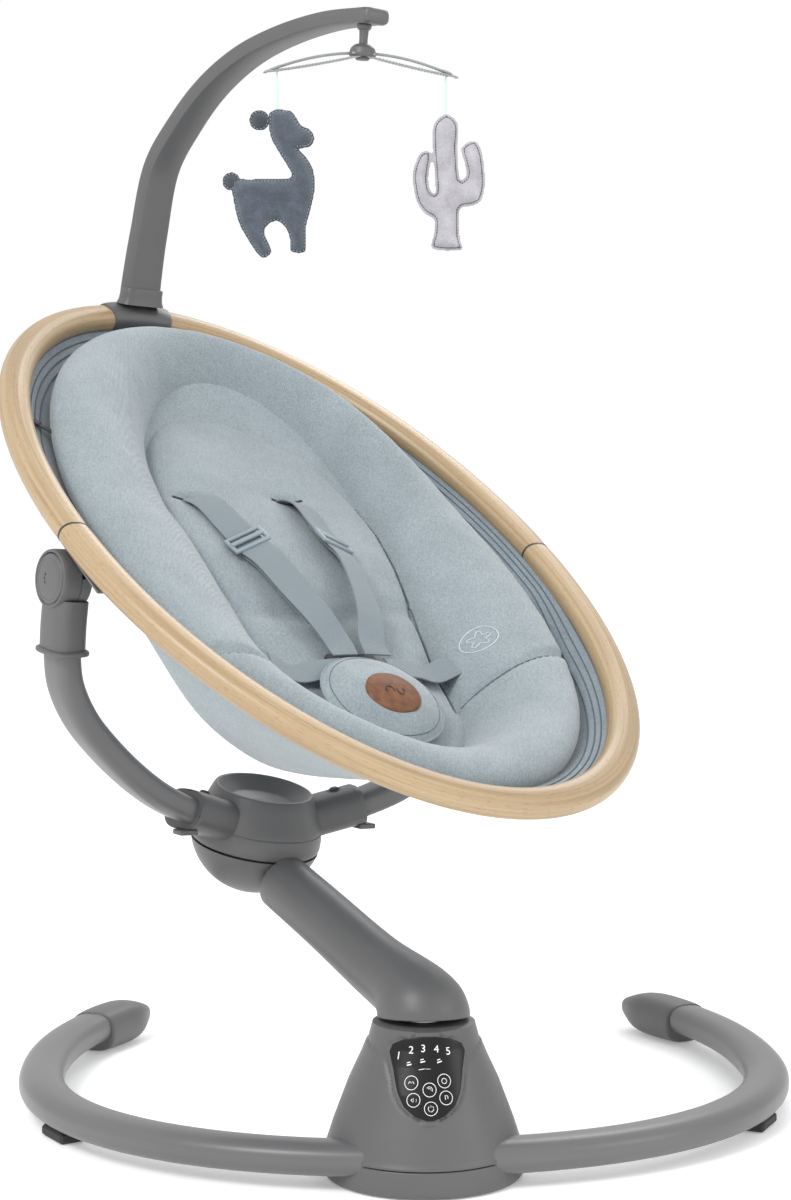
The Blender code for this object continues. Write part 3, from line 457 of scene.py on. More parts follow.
CONE_TOP, SEAM_Z = 0.1135, 0.0206
heights = [CONE_TOP - 0.0012 * i for i in range(1, 75)]
foot = cone_radius(SEAM_Z)
rows = [(0.0, CONE_TOP), (cone_radius(CONE_TOP) - 0.004, CONE_TOP)]
rows += [(cone_radius(z), z) for z in heights]
rows += [(foot, 0.0222), (foot - 0.0003, SEAM_Z), (foot - 0.0015, 0.0203), (0.0, 0.0203)]
bm = turned(rows, 256)
axle = Matrix.Rotation(math.radians(-SWING_TILT), 3, "X") @ Vector((0, 0, 1))
for v in bm.verts:
    r = math.hypot(v.co.x, v.co.y)
    if r > 0.02 and 0.0235 < v.co.z < 0.113:
        angle = abs(math.degrees(math.atan2(v.co.x, -v.co.y)))
        inside = ease((between(FAIRING, v.co.z) - angle) / 2.2 + 0.5) if v.co.z > 0.0500 else 0.0
        near = panel_half(v.co.z, 0.0035)
        pad = ease((near - angle) / 1.6 + 0.5) if near else 0.0
        lift = -0.0009 * inside * (1 - pad) + 0.0010 * pad
        v.co.x *= (r + lift) / r
        v.co.y *= (r + lift) / r
bmesh.ops.bisect_plane(bm, geom=bm.verts[:] + bm.edges[:] + bm.faces[:], plane_co=PIVOT,
                       plane_no=axle, clear_outer=True)
bmesh.ops.holes_fill(bm, edges=[e for e in bm.edges if e.is_boundary], sides=0)
piece("housing_cone", bm, "base", MOULDED, ["housing_shell"])
dish = eased([(0.0, 0.0197), (0.0722, 0.0197), (0.0735, 0.0035), (0.0712, 0.0003),
              (0.0, 0.0003)], 0.0012)
piece("housing_floor_dish", turned(dish, 128), "base", MOULDED, ["housing_base"])
coat(("power_inlet", "speaker", "swing_gear"), DARK_ABS_AND_SHADE)

# ---- touch panel ----
# A black PMMA window with a clear gloss, back-printed in white: a row of step numbers, three short
# timer strokes and six ringed keys with plain signs. The print is drawn as thin inlays.
GLOSS, gloss_shader = start("black_pmma", "#0b0b0c", 0.30, 1.40)
spot = add(GLOSS, "TexCoord")
smear = add(GLOSS, "TexNoise", {"Vector": (spot, "Object"), "Scale": 60.0, "Detail": 3.0})
rough = add(GLOSS, "MapRange", {"Value": (smear, "Fac"), "To Min": 0.26, "To Max": 0.36})
wire(GLOSS, gloss_shader, "Roughness", (rough, "Result"))
WHITE, white_shader = start("white_print", "#eeeeec", 0.4, 1.5)
spot = add(WHITE, "TexCoord")
worn = add(WHITE, "TexNoise", {"Vector": (spot, "Object"), "Scale": 900.0})
tone = ramp(WHITE, (worn, "Fac"), ((0.3, "#dcdcda"), (0.6, "#f4f4f2")))
wire(WHITE, white_shader, "Base Color", (tone, "Color"))


def on_cone(angle, z, lift):
    """A point above the cone; the angle runs from the front."""
    r = cone_radius(z) + lift
    a = math.radians(angle)
    return Vector((r * math.sin(a), -r * math.cos(a), z))


bm = bmesh.new()
bmesh.ops.create_grid(bm, x_segments=60, y_segments=96, size=1.0)
for v in bm.verts:
    z = PANEL[0][0] + (PANEL[-1][0] - PANEL[0][0]) * (v.co.y + 1) / 2
    half = between(PANEL, z)
    edge = max(abs(v.co.x), abs(v.co.y)) ** 24
    v.co = on_cone(v.co.x * half, z, 0.0022 - 0.0004 * edge)
ring = bmesh.ops.extrude_face_region(bm, geom=bm.faces[:])["geom"]
for v in ring:
    if isinstance(v, bmesh.types.BMVert):
        out = Vector((v.co.x, v.co.y, 0)).normalized()
        v.co -= out * 0.0011
piece("touch_panel", bm, "base", GLOSS, ["control_panel"], sharp=50)


def flat_ring(outer, inner, steps=40):
    """A flat annulus."""
    return turned([(outer, 0.0), (inner, 0.0)], steps)


def stroke(points, width):
    """A flat ribbon along points in the plane."""
    ribbon = [Vector((x, y, 0.0)) for x, y in points]
    return swept(ribbon, slab(width, 0.00002), Vector((0, 0, 1)))


def figure(text, height):
    """A figure as a flat mesh, centred."""
    curve = bpy.data.curves.new("figure", "FONT")
    curve.body = text
    curve.size = height
    curve.align_x = "CENTER"
    curve.align_y = "CENTER"
    holder = bpy.data.objects.new("figure", curve)
    scene.collection.objects.link(holder)
    bpy.context.view_layer.update()
    mesh = bpy.data.meshes.new_from_object(
        holder.evaluated_get(bpy.context.evaluated_depsgraph_get()))
    bpy.data.objects.remove(holder)
    bm = bmesh.new()
    bm.from_mesh(mesh)
    return bm


def printed(bm, angle, z):
    """Wrap a flat drawing round the cone at a place on the panel."""
    for v in bm.verts:
        height = z + v.co.y
        v.co = on_cone(angle + math.degrees(v.co.x / cone_radius(height)), height, 0.00232)
    return bm


def arc(radius, first, last, steps=20):
    """Points of an arc in the plane, its degrees counted from straight up."""
    turn = [math.radians(first + (last - first) * i / steps) for i in range(steps + 1)]
    return [(radius * math.sin(a), radius * math.cos(a)) for a in turn]


signs = []
for number, (angle, z) in enumerate(((-27.5, 0.0963), (-16.0, 0.1006), (-4.6, 0.1018),
                                     (7.9, 0.1013), (19.1, 0.0994))):
    signs.append(printed(figure(str(number + 1), 0.0072), angle, z))
for angle, z in ((-16.8, 0.0910), (-5.0, 0.0932), (9.8, 0.0929)):
    signs.append(printed(stroke([(-0.0016, -0.0004), (0.0016, 0.0004)], 0.0008), angle, z))
    signs.append(printed(stroke([(-0.0016, 0.0012), (0.0006, 0.0018)], 0.0006), angle, z))
rule = stroke([(-0.0042, 0.0), (0.0, 0.0006), (0.0042, 0.0004)], 0.0004)
signs.append(printed(rule, -3.2, 0.0880))
KEYS = ((-13.8, 0.0794), (12.0, 0.0804), (0.2, 0.0750), (-11.4, 0.0682), (12.0, 0.0694),
        (0.8, 0.0627))
DRAWINGS = (
    [[(-0.0020, -0.0006), (-0.0010, 0.0010), (0.0, -0.0002), (0.0010, 0.0010), (0.0020, -0.0006)]],
    [arc(0.0017, 0, 360)],
    [arc(0.0020, -60, 120), arc(0.0010, -60, 120)],
    [[(-0.0018, 0.0), (0.0, 0.0014), (0.0, -0.0014), (-0.0018, 0.0)], arc(0.0020, 60, 120)],
    [[(-0.0006, -0.0012), (-0.0006, 0.0018), (0.0012, 0.0012), (0.0012, -0.0006)]],
    [arc(0.0019, 35, 325), [(0.0, 0.0008), (0.0, 0.0024)]])
for (angle, z), drawing in zip(KEYS, DRAWINGS):
    signs.append(printed(flat_ring(0.0047, 0.0043), angle, z))
    for line in drawing:
        signs.append(printed(stroke(line, 0.00045), angle, z))
piece("panel_print", joined(*signs), "base", WHITE, tidy=False)

# ---- drive inside the housing ----
# The steel shaft, bushes, motor and pinion and the control board keep their plain solids. The two
# hinge pins share the turned steel.
STEEL, steel_shader = start("turned_steel", "#b9babb", 0.3, 1.5, 1.0)
spot = add(STEEL, "TexCoord")
lathe = add(STEEL, "TexNoise", {"Vector": (spot, "Object"), "Scale": 700.0})
rough = add(STEEL, "MapRange", {"Value": (lathe, "Fac"), "To Min": 0.22, "To Max": 0.4})
wire(STEEL, steel_shader, "Roughness", (rough, "Result"))
BOARD = grained("green_solder_mask", "#1c5a34", "#22683d", 0.4, 0.002, 0.00005)
coat(("swing_shaft", "bearing_upper", "bearing_lower", "gear_motor", "motor_pinion",
      "hinge_pin_left", "hinge_pin_right"), STEEL)
coat(("circuit_board",), BOARD)

# ---- stalk ----
# A thick moulded tube that leaves the housing upright, bends over and runs up into the round bowl
# under the hub. The tube's end is let into the bowl with a crisp edge.
STALK = ((0.0001, 0.0008, 6.8, 0.0339), (0.0019, 0.0068, 12.0, 0.0337),
         (0.0080, 0.0132, 27.0, 0.0322), (0.0190, 0.0175, 45.0, 0.0290),
         (0.0360, 0.0215, 60.0, 0.0260), (0.0580, 0.0270, 67.0, 0.0242),
         (0.0860, 0.0360, 69.0, 0.0232), (0.1300, 0.0510, 70.0, 0.0226),
         (0.1860, 0.0690, 71.0, 0.0222))
BALL_RADIUS, BALL_DROP, SPLIT_DROP = 0.053, 0.031, 0.045
rings = smooth([(y, z, lean_deg) for y, z, lean_deg, r in STALK], 6)
radii = smooth([(r, 0.0, 0.0) for y, z, lean_deg, r in STALK], 6)
bm = bmesh.new()
bmesh.ops.create_grid(bm, x_segments=64, y_segments=len(rings) - 1, size=1.0)
for v in bm.verts:
    i = round((v.co.y + 1) / 2 * (len(rings) - 1))
    a = math.pi * (v.co.x + 1)
    y, z, tip = rings[i]
    r = radii[i].x
    tip = math.radians(tip)
    v.co = PIVOT + Vector((r * math.sin(a), y + r * math.cos(a) * math.cos(tip),
                           z - r * math.cos(a) * math.sin(tip)))
bmesh.ops.remove_doubles(bm, verts=bm.verts, dist=0.000002)
caps = bmesh.ops.holes_fill(bm, edges=[e for e in bm.edges if e.is_boundary], sides=0)["faces"]
bmesh.ops.bevel(bm, geom=list({e for f in caps for e in f.edges}), offset=0.0012, segments=3,
                profile=0.5, affect="EDGES", material=-1)
piece("stalk_tube", bm, "swing", MOULDED, ["stalk"], AHEAD)
split = math.sqrt(BALL_RADIUS ** 2 - (SPLIT_DROP - BALL_DROP) ** 2)
first = math.asin((SPLIT_DROP - BALL_DROP) / BALL_RADIUS)
bowl = [(0.0, -SPLIT_DROP - 0.0006), (split - 0.0012, -SPLIT_DROP - 0.0006)]
for i in range(33):
    a = first + 0.012 + (math.pi / 2 - first - 0.012) * i / 32
    bowl.append((BALL_RADIUS * math.cos(a), -BALL_DROP - BALL_RADIUS * math.sin(a)))
bowl[-1] = (0.0, bowl[-1][1])
piece("stalk_bowl", turned(bowl, 128), "swing", MOULDED, (), HUB)

# ---- hub ----
# The upper half of the ball: a moulded drum with a shallow dish in its top, a parting line half way
# down and a socket on each side that takes an arm. A dark sprung stud locks each arm.
rim = eased([(0.0, -0.0125), (0.0120, -0.0120), (0.0240, -0.0095), (0.0330, -0.0030),
             (0.0368, 0.0006), (0.0389, 0.0004), (0.0415, -0.0050), (0.0445, -0.0130),
             (0.0485, -0.0220), (0.0506, -0.0272), (0.0500, -0.0277), (0.0508, -0.0283),
             (0.0517, -0.0330), (0.0519, -0.0400), (0.0508, -0.0443), (0.0470, -0.0445),
             (0.0, -0.0445)], 0.0016)
piece("hub_drum", turned(rim, 160), "swing", MOULDED, ["hub_body", "hub_dish"], HUB)
SOCKET = oval(0.039, 0.032, 40, 2.9)
for name, side in (("left", -1), ("right", 1)):
    inner = Vector((side * 0.038, 0.2180, 0.2280))
    mouth = Vector((side * 0.082, 0.2080, 0.2400))
    step = (mouth - inner).normalized()
    way = [inner + (mouth - inner) * i / 12 for i in range(13)]
    body = swept(way, SOCKET, Vector((0, 0, 1)), [1.03, 1.02, 1.01] + [1.0] * 10, caps=False)
    lip_way = [mouth, mouth + step * 0.0006, mouth + step * 0.0008, mouth + step * 0.0002,
               mouth - step * 0.008]
    lip = swept(lip_way, SOCKET, Vector((0, 0, 1)), [1.0, 0.985, 0.93, 0.87, 0.86], caps=False)
    seam_way = [inner + (mouth - inner) * t for t in (0.15, 0.5, 0.985)]
    ledge = [p + Vector((0, -0.0192, -0.0030)) for p in seam_way]
    clip = box((0.016, 0.012, 0.0042), 0.0012,
               place=Matrix.Translation(mouth + Vector((side * 0.003, -0.008, -0.0165))))
    piece(f"hub_socket_{name}", joined(body, lip, clip), "swing", MOULDED, (), AHEAD,
          sharp=45)
    piece(f"hub_socket_seam_{name}", swept(ledge, oval(0.0006, 0.0006, 6, 2.0), Vector((0, 0, 1))),
          "swing", DARK_ABS_AND_SHADE, (), AHEAD)
    stud_place = AHEAD @ Matrix.Translation((side * 0.066, 0.2115, 0.2356))
    stud_place = stud_place @ Matrix.Rotation(-side * math.radians(15), 4, "Y")
    stud = eased([(0.0, 0.0187), (0.0030, 0.0184), (0.0042, 0.0170), (0.0042, 0.0060),
                  (0.0, 0.0060)], 0.0007)
    piece(f"stud_{name}", turned(stud, 40), f"snap_{name}", DARK_ABS_AND_SHADE,
          [f"snap_button_{name}"], stud_place)
    collar = turned(eased([(0.0046, 0.0150), (0.0050, 0.0164), (0.0062, 0.0164), (0.0072, 0.0140),
                           (0.0074, 0.0100)], 0.0006), 40)
    piece(f"stud_collar_{name}", collar, "swing", DARK_ABS_AND_SHADE, (), stud_place)

# ---- support arms ----
# Two bent steel tubes of flat section, powder coated. They rise from the hub's sockets, round the
# seat's underside, and go up into the hinge housings.
ARM = ((0.0540, 0.2143, 0.2323), (0.0820, 0.2080, 0.2400), (0.1130, 0.2010, 0.2530),
       (0.1420, 0.1970, 0.2710), (0.1700, 0.1930, 0.2930), (0.1920, 0.1880, 0.3140),
       (0.2080, 0.1830, 0.3380), (0.2145, 0.1795, 0.3620), (0.2160, 0.1775, 0.3820))
arm_section = oval(0.030, 0.021, 40, 3.4)
for name, side in (("left", -1), ("right", 1)):
    way = smooth([(side * x, y, z) for x, y, z in ARM], 8)
    rise = []
    for i in range(len(way)):
        onward = way[min(i + 1, len(way) - 1)] - way[max(i - 1, 0)]
        rise.append(onward.cross(Vector((0, 1, 0))) * side)
    piece(f"arm_{name}", swept(way, arm_section, rise), "swing", COATED,
          [f"support_arm_{name}"], AHEAD, sharp=60)

# ---- recline hinges ----
# A round ABS housing tops each arm on a sleeve with a flanged mouth. Inside it a lug on the hoop
# turns on a steel pin; the round button in its outer face frees the ratchet.
DRUM_RADIUS, DRUM_FACE, DRUM_DEPTH, DISC_RADIUS = 0.0218, 0.230, 0.0245, 0.0185
LUG_FACE, LUG_SLOT = 0.0175, 0.0054
LUG_OPENING, BAND_MIDDLE, BAND_THICK = 55.0, 0.0176, 0.0084
TILT = Matrix.Rotation(math.radians(SEAT_TILT), 3, "X")
HINGE = SEAT_CENTRE + TILT @ Vector((0.0, HINGE_BACK, HINGE_DROP))
SLEEVE = ((0.2145, 0.1795, 0.3620), (0.2160, 0.1775, 0.3820), (0.2160, 0.1765, 0.4010))
SLEEVE_OVAL = oval(0.0360, 0.0270, 40, 3.2)
for name, side in (("left", -1), ("right", 1)):
    turn = Matrix.Rotation(side * math.pi / 2, 4, "Y")
    place = AHEAD @ Matrix.Translation((side * DRUM_FACE, HINGE.y, HINGE.z)) @ turn
    near, far = LUG_FACE - LUG_SLOT / 2, LUG_FACE + LUG_SLOT / 2
    front = eased([(0.0, -0.0062), (0.0186, -0.0062), (0.0188, -0.0010), (0.0196, 0.0004),
                   (0.0212, 0.0002), (DRUM_RADIUS, -0.0026), (DRUM_RADIUS, -near), (0.0, -near)],
                  0.0010)
    back = eased([(0.0, -far), (DRUM_RADIUS, -far), (DRUM_RADIUS, -DRUM_DEPTH + 0.0026),
                  (DRUM_RADIUS - 0.0022, -DRUM_DEPTH), (0.0, -DRUM_DEPTH)], 0.0010)
    core = []
    for i in range(61):
        a = math.radians(SEAT_TILT + LUG_OPENING + (360.0 - 2 * LUG_OPENING) * i / 60)
        core.append(Vector((side * (DRUM_FACE - LUG_FACE), HINGE.y - BAND_MIDDLE * math.sin(a),
                            HINGE.z + BAND_MIDDLE * math.cos(a))))
    axis = Vector((side * (DRUM_FACE - LUG_FACE), HINGE.y, HINGE.z))
    band = swept(core, slab(LUG_SLOT, BAND_THICK), [p - axis for p in core])
    piece(f"hinge_drum_{name}", joined(turned(front, 96), turned(back, 96)), "swing", MOULDED,
          [f"hinge_housing_{name}"], place)
    piece(f"hinge_band_{name}", band, "swing", MOULDED, (), AHEAD)
    way = smooth([(side * x, y, z) for x, y, z in SLEEVE], 10)
    lift = (way[1] - way[0]).normalized()
    rise = Vector((1, 0, 0))
    stem = swept(way, SLEEVE_OVAL, rise, caps=False)
    lips = ((-0.0002, 0.93), (-0.0002, 1.13), (0.0004, 1.17), (0.0024, 1.17), (0.0031, 1.12),
            (0.0034, 1.02))
    flange = swept([way[0] + lift * h for h, k in lips], SLEEVE_OVAL, rise, [k for h, k in lips],
                   caps=False)
    piece(f"hinge_sleeve_{name}", joined(stem, flange), "swing", MOULDED, (), AHEAD,
          sharp=45)
    disc = eased([(0.0, 0.0013), (0.0060, 0.0013), (0.0140, 0.0010), (0.0150, 0.0004),
                  (0.0156, 0.0004), (0.0163, 0.0009), (0.0178, 0.0004), (DISC_RADIUS, -0.0006),
                  (DISC_RADIUS, -0.0030), (0.0, -0.0030)], 0.0005)
    piece(f"recline_disc_{name}", turned(disc, 96), f"recline_{name}", MOULDED,
          [f"recline_button_{name}"], place)
    marks = []
    for middle in (-40, 0, 40):
        mark = stroke(arc(0.0045, middle - 12, middle + 12, 3), 0.0016)
        bmesh.ops.translate(mark, vec=(0, 0.001, 0), verts=mark.verts)
        marks.append(mark)
    sign = joined(*marks)
    bmesh.ops.translate(sign, vec=(0, 0, 0.00142), verts=sign.verts)
    piece(f"recline_sign_{name}", sign, f"recline_{name}", RUBBER, (), place,
          tidy=False)
coat(("hoop_bracket_left", "hoop_bracket_right"), COATED)

# ---- beech hoop ----
# Two bent laths of pale beech with a satin lacquer, butted at the sides over a hidden spigot. The
# growth lines follow the bend, with short darker flecks between them.
HOOP_LENGTH, HOOP_WIDTH, HOOP_TUBE, SEAM_ANGLE = 0.3277, 0.2181, (0.025, 0.019), 91.7
BEECH, beech_shader = start("lacquered_beech", "#cdb08f", 0.42, 1.5, Coat_Weight=0.15,
                            Coat_Roughness=0.25)
run = add(BEECH, "UVMap", uv_map="run")
drawn = add(BEECH, "Mapping", {"Vector": (run, "UV"), "Scale": (3.0, 210.0, 1.0)})
lines = add(BEECH, "TexNoise", {"Vector": (drawn, "Vector"), "Scale": 1.6, "Detail": 5.0,
                                "Distortion": 0.6})
broad = add(BEECH, "Mapping", {"Vector": (run, "UV"), "Scale": (2.2, 34.0, 1.0)})
bands = add(BEECH, "TexNoise", {"Vector": (broad, "Vector"), "Scale": 1.3, "Detail": 3.0})
fleck_map = add(BEECH, "Mapping", {"Vector": (run, "UV"), "Scale": (150.0, 1300.0, 1.0)})
flecks = add(BEECH, "TexNoise", {"Vector": (fleck_map, "Vector"), "Scale": 1.0, "Detail": 2.0})
mixed = add(BEECH, "Mix", {"Factor": 0.45, "A": (lines, "Fac"), "B": (bands, "Fac")})
tone = ramp(BEECH, (mixed, "Result"), ((0.32, "#8f7859"), (0.46, "#a38b6a"), (0.60, "#b39d7c")))
fleck_tone = ramp(BEECH, (flecks, "Fac"), ((0.30, "#c9a988"), (0.42, "#ffffff")))
shade = add(BEECH, "Mix", {"Factor": 0.5}, data_type="RGBA", blend_type="MULTIPLY")
BEECH.node_tree.links.new(tone.outputs["Color"], shade.inputs[6])
BEECH.node_tree.links.new(fleck_tone.outputs["Color"], shade.inputs[7])
BEECH.node_tree.links.new(shade.outputs[2], beech_shader.inputs["Base Color"])
bump = add(BEECH, "Bump", {"Height": (lines, "Fac"), "Strength": 0.25, "Distance": 0.0003})
wire(BEECH, beech_shader, "Normal", (bump, "Normal"))


def hoop_point(angle):
    """A point of the hoop's middle line; the angle runs from the head end."""
    a = math.radians(angle)
    return Vector((HOOP_WIDTH * math.sin(a), HOOP_LENGTH * math.cos(a), 0.0))


OUT = Vector((0, 0, 1))
for name, first, last in (("head", -SEAM_ANGLE, SEAM_ANGLE), ("foot", SEAM_ANGLE, 360 - SEAM_ANGLE)):
    turns = [first + 0.12 + (last - first - 0.24) * i / 150 for i in range(151)]
    ends = [0.972, 0.990] + [1.0] * 147 + [0.990, 0.972]
    piece(f"beech_{name}", swept([hoop_point(t) for t in turns], oval(*HOOP_TUBE, 36, 2.3), OUT, ends),
          "seat", BEECH, [f"hoop_{name}"], SEAT)
for name, angle in (("left", -SEAM_ANGLE), ("right", SEAM_ANGLE)):
    joint_way = [hoop_point(angle + d) for d in (-0.16, -0.05, 0.05, 0.16)]
    piece(f"hoop_joint_{name}", swept(joint_way, oval(0.0248, 0.0188, 36, 2.3), OUT), "seat", DARK_ABS_AND_SHADE,
          (), SEAT)

# ---- seat cloth ----
# A heathered jersey: pale blue-grey cotton knit over foam. Its courses are drawn at 1.6 mm, coarser
# than the real 0.8 mm, so that they show; the flecks are the mixed light and dark yarn.
def heathered(name, dark, middle, pale, depth=0.0005):
    mat, shader = start(name, middle, 0.92, 1.5, Sheen_Weight=0.35, Sheen_Roughness=0.5)
    spot = add(mat, "TexCoord")
    lie = add(mat, "Mapping", {"Vector": (spot, "Object"), "Rotation": (0.5, 0.0, 0.6),
                               "Scale": (1.0, 0.35, 1.0)})
    yarn = add(mat, "TexNoise", {"Vector": (lie, "Vector"), "Scale": 620.0, "Detail": 5.0,
                                 "Roughness": 0.7})
    cloud = add(mat, "TexNoise", {"Vector": (spot, "Object"), "Scale": 26.0, "Detail": 2.0})
    both = add(mat, "Mix", {"Factor": 0.22, "A": (yarn, "Fac"), "B": (cloud, "Fac")})
    tone = ramp(mat, (both, "Result"), ((0.34, dark), (0.5, middle), (0.66, pale)))
    wire(mat, shader, "Base Color", (tone, "Color"))
    course = add(mat, "TexWave", {"Vector": (lie, "Vector"), "Scale": 200.0, "Distortion": 3.0,
                                  "Detail": 2.0}, bands_direction="X")
    wale = add(mat, "TexWave", {"Vector": (lie, "Vector"), "Scale": 560.0, "Distortion": 3.0},
               bands_direction="Y")
    knit = add(mat, "Math", {0: (course, "Fac"), 1: (wale, "Fac")}, operation="MULTIPLY")
    fuzz = add(mat, "Math", {0: (knit, "Value"), 1: (yarn, "Fac")}, operation="ADD")
    bump = add(mat, "Bump", {"Height": (fuzz, "Value"), "Strength": 0.4, "Distance": depth})
    wire(mat, shader, "Normal", (bump, "Normal"))
    return mat


JERSEY = heathered("heathered_jersey", "#7d878c", "#8c979c", "#9ba6ab")
LINING = heathered("heathered_lining", "#76828a", "#848f97", "#929da4")


def yarn(name, base, dark, pale, fine=900.0):
    """Thread whose twist shows as small lighter and darker spots."""
    mat, shader = start(name, base, 0.8)
    spot = add(mat, "TexCoord")
    ply = add(mat, "TexNoise", {"Vector": (spot, "Object"), "Scale": fine})
    tone = ramp(mat, (ply, "Fac"), ((0.3, dark), (0.7, pale)))
    wire(mat, shader, "Base Color", (tone, "Color"))
    return mat


THREAD = yarn("seam_thread", "#5d6b73", "#4c5a62", "#67757d")
MIDDLE, INSERT = -0.06, (0.297, 0.186)


def fullness(reach):
    """1 over most of a pad, falling to 0 at its rim."""
    return 1 - reach ** 4


def pad(length, width, top, floor, columns, rows, middle=MIDDLE):
    """A closed cushion in an oval: top and floor give heights over (reach, x, y)."""
    bm = bmesh.new()
    bmesh.ops.create_uvsphere(bm, u_segments=columns, v_segments=rows, radius=1.0)
    for v in bm.verts:
        x, y, z = v.co
        reach = min(1.0, math.hypot(x, y))
        along = length * y + middle * (1 - reach)
        surface = top if z >= -0.0001 else floor
        v.co = (width * x, along, surface(reach, width * x, along))
    return bm


# The sling is the outer bag: its head and foot ends are drawn up, and a hem tucks it to the hoop.
def bag_floor(reach, x, y):
    deep = 0.150 * (1 - reach ** 2.37) * (1 - 0.78 * ease((-0.02 - y) / 0.36))
    deep *= 1 - 0.60 * ease((y + 0.13) / 0.09)
    ripple = noise.noise(Vector((x, y, 0.3)) * 14) * 0.0030 * fullness(reach)
    return -0.013 - deep + ripple


def bag_top(reach, x, y):
    return bag_floor(reach, x, y) + 0.0035


length = HOOP_LENGTH - 0.0080
width = HOOP_WIDTH - 0.0080
sling = piece("sling_bag", pad(length, width, bag_top, bag_floor, 200, 110), "seat", JERSEY,
              ["seat_sling"], SEAT, sharp=80)


def liner_floor(reach, x, y):
    return bag_floor(reach, x, y) + 0.0045 + 0.0015 * ease((reach - 0.8) / 0.2)


def liner_top(reach, x, y):
    return max(-0.0075 - 0.060 * fullness(reach), liner_floor(reach, x, y) + 0.003)


liner = piece("seat_lining", pad(length - 0.001, width - 0.001, liner_top, liner_floor, 200, 110),
              "seat", LINING, ["seat_liner"], SEAT, sharp=80)
for number, reach in enumerate((0.992, 0.974, 0.957, 0.938)):
    turns = [360 * i / 220 for i in range(220)]
    loop = []
    for t in turns:
        x = (width - 0.001) * reach * math.sin(math.radians(t))
        y = (length - 0.001) * reach * math.cos(math.radians(t)) + MIDDLE * (1 - reach)
        loop.append((x, y, liner_top(reach, x, y) + 0.0004))
    piece(f"tape_stitch_{number}", swept(loop, oval(0.0012, 0.0009, 6, 2.0), OUT, closed=True),
          "seat", THREAD, (), SEAT, tidy=False)

# ---- newborn insert ----
# The thick padded insert: a bolster runs round a sunken back and leg panel and is joined to it by
# one sewn line; a wedge seam on each side closes the roll at the foot end.
PANEL_SHIFT, PANEL_SKEW = 0.011, 0.09
BACK_Y, BACK_HALF = 0.060, (0.100, 0.187)
LEGS_Y, LEGS_HALF = -0.150, (0.076, 0.070)
SLOT_X, SLOT_Y, WEDGE_RISE = 0.047, 0.102, 0.10
BADGE, BADGE_RADIUS, ROSETTE_RADIUS = (0.109, -0.103), 0.0125, 0.0062


def wide_oval(x, y, centre, half_x, half_y):
    """Signed distance, roughly, to an upright oval; inside it is negative."""
    u, v = x / half_x, (y - centre) / half_y
    q = math.hypot(u, v)
    slope = math.hypot(u / half_x, v / half_y) / max(q, 0.000001)
    return (q - 1) / max(slope, 0.000001)


def panel_side(y):
    """Half width of the sunken panel between its round head and foot."""
    return BACK_HALF[0] - (BACK_HALF[0] - LEGS_HALF[0]) * (BACK_Y - y) / (BACK_Y - LEGS_Y)


def to_seam(x, y):
    """Distance outside the sewn line round the sunken panel, which lies a little askew."""
    x -= PANEL_SHIFT + PANEL_SKEW * y
    if y > BACK_Y:
        return wide_oval(x, y, BACK_Y, *BACK_HALF)
    if y > LEGS_Y:
        return (abs(x) - panel_side(y)) * 0.99
    return wide_oval(x, y, LEGS_Y, *LEGS_HALF)


def insert_top(reach, x, y):
    outside = to_seam(x, y)
    legs = ease((0.030 - y) / 0.150)
    low = -0.036 - 0.019 * legs
    rim = -0.012 + 0.012 * ease((y - 0.02) / 0.2)
    edge = wide_oval(x, y, 0.0, INSERT[1], INSERT[0])
    if outside > 0:
        t = outside / max(outside - edge, 0.000001)
        crest = 0.024 + 0.004 * ease((-0.15 - y) / 0.08) + 0.010 * ease((y - 0.02) / 0.2)
        z = low + (rim - low) * t + crest * math.sin(math.pi * min(1.0, t)) ** 0.62
    else:
        z = low + 0.007 * (1 - math.exp(outside / 0.016))
    z -= 0.0042 * math.exp(-(outside / 0.0036) ** 2) * (1.0 if y > -0.155 else 0.2)
    if outside > -0.004:
        wedge = y - LEGS_Y - WEDGE_RISE * (abs(x) - LEGS_HALF[0])
        z -= 0.0052 * math.exp(-(wedge / 0.0034) ** 2) * ease((abs(x) - 0.070) / 0.01)
    for side in (-1, 1):
        u, v = x - side * SLOT_X, y - SLOT_Y
        z -= 0.0050 * math.exp(-(u / 0.015) ** 2 - (v / 0.0048) ** 2)
        z -= 0.0035 * math.exp(-(u / 0.030) ** 2 - (v / 0.022) ** 2)
    pucker = noise.noise(Vector((x * 22, y * 22, 1.7)))
    z += 0.0016 * pucker * fullness(reach) + 0.0006 * noise.noise(Vector((x * 70, y * 70, 4.2)))
    crease = math.exp(-((y + 0.055 - 0.2 * abs(x)) / 0.010) ** 2) if outside < 0 else 0.0
    return z - 0.0035 * crease


def insert_floor(reach, x, y):
    under = min(1.0, math.hypot(x / width, (y + 0.04) / length))
    return max(-0.014 - 0.060 * fullness(reach), bag_floor(under, x, y) + 0.009) - 0.001


bm = pad(INSERT[0], INSERT[1], insert_top, insert_floor, 360, 300)
insert = piece("insert_pad", bm, "seat", JERSEY, ["newborn_insert"], SEAT, sharp=80)


def over(points, lift):
    """Points laid on the insert."""
    return [Vector((x, y, insert_top(0.6, x, y) + lift)) for x, y in points]


def corded(name, points, width=0.0010, finish=THREAD, lift=-0.0001, body="seat", closed=False):
    """A fine sewn line lying on the insert."""
    return piece(name, swept(over(points, lift), oval(width, width * 0.8, 6, 2.0), OUT,
                             closed=closed), body, finish, (), SEAT, tidy=False)


def circle(radius, count):
    """Points of a closed circle, for outlines that are bent afterwards."""
    turns = [2 * math.pi * i / count for i in range(count)]
    return [(radius * math.cos(a), radius * math.sin(a)) for a in turns]


